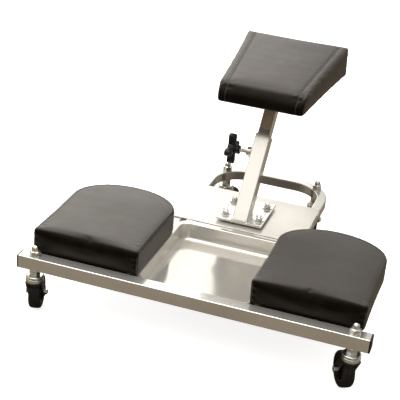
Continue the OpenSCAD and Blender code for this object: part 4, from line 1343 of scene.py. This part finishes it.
@dataclass
class Stems:
    """Stems, nuts, washers and races fixed to the frame at the four corners."""

    casters: Sequence[Caster]
    flats: float = 17 * MM
    nut_high: float = 8 * MM
    dome: float = 6.4 * MM
    dome_start: float = 11.5 * MM
    washer: float = 2 * MM
    shank: float = 5 * MM
    pitch: float = 1.5 * MM
    rivet: Profile = ((0.0, 5.4), (0.5, 7.0), (2.0, 7.4), (2.5, 7.4), (2.5, 5))

    def build(self, shop: Workshop) -> None:
        """Builds the acorn nuts and the stems' hexagons."""
        washer_low, washer_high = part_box("stem_top_washers")
        _, race_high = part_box("caster_top_races")
        low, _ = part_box("caster_stems")
        lower_low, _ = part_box("stem_lower_washers")
        hexagon, neck = race_high.z - low.z, lower_low.z - low.z
        nuts, stems = bmesh.new(), bmesh.new()
        for i, c in enumerate(self.casters):
            base = washer_high.z if c.corner.startswith("front") else washer_low.z + self.washer
            nut = Stack(Vector((c.stem.x, c.stem.y, base)), UP, spin=-0.235 + 0.12 * i)
            nut.turned([(0.2 * MM, 5.2 * MM)]).hexagon(0.0, self.flats, self.nut_high)
            nut.turned([(self.nut_high, 6.9 * MM), (8.5 * MM, self.dome), (self.dome_start, self.dome)])
            for t in arc(12, 84, 6):
                nut.turned([(self.dome_start + self.dome * math.sin(t), self.dome * math.cos(t))])
            nut.into(nuts)
            stem = Stack(Vector((c.stem.x, c.stem.y, low.z)), UP, spin=-0.235 + 0.3 * i)
            stem.turned(in_mm(self.rivet)).turned([(hexagon, self.shank)])
            stem.hexagon(hexagon, self.flats, lower_low.z - race_high.z).turned([(neck, self.shank)])
            long = base + 10 * MM - lower_low.z
            stem.thread(neck + 0.4 * MM, long - 0.4 * MM, self.shank, self.pitch).into(stems)
        shop.stand_in("stem_acorn_nuts", "turned", nuts, Finish.ZINC, "frame")
        shop.stand_in("caster_stems", "turned", stems, Finish.ZINC, "frame")

    def dress(self, shop: Workshop) -> None:
        """Gives the races, balls and washers bright zinc."""
        shop.dress(("stem_top_washers", "stem_lower_washers"), Finish.ZINC, 0.3 * MM)
        shop.dress(("caster_top_races", "swivel_balls"), Finish.ZINC)


@dataclass
class Studio:
    """Pale floor, soft lights and the photograph's camera."""

    azimuth: float = 16.53
    elevation: float = 25.57
    roll: float = 5.13
    distance: float = 2.06276
    aim: Vector = field(default_factory=lambda: Vector((-0.05071, -0.127286, 0.20295)))

    def build(self) -> None:
        """Makes the camera, the world, the floor and the lights."""
        self.camera()
        self.world()
        self.floor()
        self.lights()
        bpy.context.scene.view_settings.view_transform = "Standard"

    def camera(self) -> None:
        """Places the camera where the photograph was taken from."""
        a, e, r = (math.radians(v) for v in (self.azimuth, self.elevation, self.roll))
        back = Vector((math.sin(a) * math.cos(e), -math.cos(a) * math.cos(e), math.sin(e)))
        right = Vector((0, 0, 1)).cross(back).normalized()
        up = back.cross(right)
        right, up = right * math.cos(r) + up * math.sin(r), up * math.cos(r) - right * math.sin(r)
        data = bpy.data.cameras.new("photo_camera")
        data.sensor_width = 36.0
        data.lens = FOCAL_PX / IMAGE_PX * data.sensor_width
        camera = added("photo_camera", data)
        turn = Matrix((right, up, back)).transposed().to_4x4()
        camera.matrix_world = Matrix.Translation(self.aim + back * self.distance) @ turn
        bpy.context.scene.camera = camera

    def world(self) -> None:
        """Bright behind and above, dim in front and below, and white where the camera looks past the object."""
        world = bpy.data.worlds.new("studio")
        g = blank(world)
        axes = g.add("SeparateXYZ", {0: g.add("TexCoord").outputs["Generated"]}).outputs
        behind = g.remap(axes[1], -0.35, 0.75, 0.0, 1.0)
        above = g.remap(axes[2], 0.1, 0.75, 0.0, 1.0)
        left = g.remap(axes[0], -0.45, 0.0, 1.15, 0.55)
        high = g.remap(axes[2], 0.6, 0.8, 1.0, 1.75)
        glow = g.math("MULTIPLY", g.math("MULTIPLY", g.math("MAXIMUM", behind, above), left), high)
        colour = g.mix(glow, (0.12, 0.10, 0.075, 1.0), (0.98, 0.945, 0.885, 1.0))
        light = g.add("Background", {"Color": colour, "Strength": g.math("MAXIMUM", glow, 1.0)}).outputs[0]
        white = g.add("Background", {"Color": (1.0, 1.0, 1.0, 1.0), "Strength": 1.0}).outputs[0]
        seen = g.add("LightPath").outputs["Is Camera Ray"]
        g.add("OutputWorld", {0: g.add("MixShader", {0: seen, 1: light, 2: white}).outputs[0]})
        bpy.context.scene.world = world

    def floor(self) -> None:
        """Wide pale floor that keeps a soft shadow, and can be looked through from below."""
        bm = bmesh.new()
        bmesh.ops.create_grid(bm, x_segments=2, y_segments=2, size=6.0)
        floor = meshed("studio_floor", bm)
        material = bpy.data.materials.new("pale_floor")
        g = blank(material)
        seen = g.add("LightPath").outputs["Is Camera Ray"]
        lit = g.add("BsdfDiffuse", {"Color": (0.9, 0.9, 0.9, 1.0)}).outputs[0]
        glow = g.add("Emission", {"Color": (1.0, 1.0, 1.0, 1.0), "Strength": 0.78}).outputs[0]
        bright = g.add("AddShader", {0: lit, 1: glow}).outputs[0]
        dim = g.add("BsdfDiffuse", {"Color": (0.205, 0.175, 0.135, 1.0)}).outputs[0]
        front = g.add("MixShader", {0: seen, 1: dim, 2: bright}).outputs[0]
        clear = g.add("BsdfTransparent").outputs[0]
        below = g.add("NewGeometry").outputs["Backfacing"]
        g.add("OutputMaterial", {0: g.add("MixShader", {0: below, 1: front, 2: clear}).outputs[0]})
        floor.data.materials.append(material)

    def lights(self) -> None:
        """Overhead softbox, a rear panel for sheen and a weak front fill."""
        rows = (
            ("overhead", (-0.25, 0.05, 1.9), (0, 0, 0.1), 1.5, 24.0),
            ("rear_panel", (-1.2, 2.0, 1.15), (0, 0, 0.25), 2.0, 12.5),
            ("front_fill", (0.9, -2.0, 0.9), (0, 0, 0.2), 1.2, 3.0),
        )
        for name, place, aim, size, power in rows:
            data = bpy.data.lights.new(name, "AREA")
            data.shape, data.size, data.energy = "SQUARE", size, power
            data.color = (1.0, 0.985, 0.96)
            light = added(name, data)
            way = (Vector(place) - Vector(aim)).normalized()
            light.matrix_world = Matrix.Translation(place) @ way.to_track_quat("Z", "Y").to_matrix().to_4x4()
            light.visible_camera = False


def main() -> None:
    """Builds the scene in order and logs each part."""
    logging.basicConfig(level=logging.INFO, format="%(name)s: %(message)s")
    Studio().build()
    shop = Workshop(Palette(Effects().build()).build())
    casters = [Caster(corner) for corner in ("front_left", "front_right", "rear_left", "rear_right")]
    Tray().build(shop)
    for part in (Chassis(), PostFoot(), SeatPost(), Stems(casters), *casters):
        part.build(shop)
        part.dress(shop)
    cushions = (
        KneeCushion("left_knee_cushion", "left_pad_board", "frame"),
        KneeCushion("right_knee_cushion", "right_pad_board", "frame"),
        SeatCushion("seat_cushion", "seat_board", "seat"),
    )
    for cushion in cushions:
        cushion.build(shop)


if __name__ == "__main__":
    main()
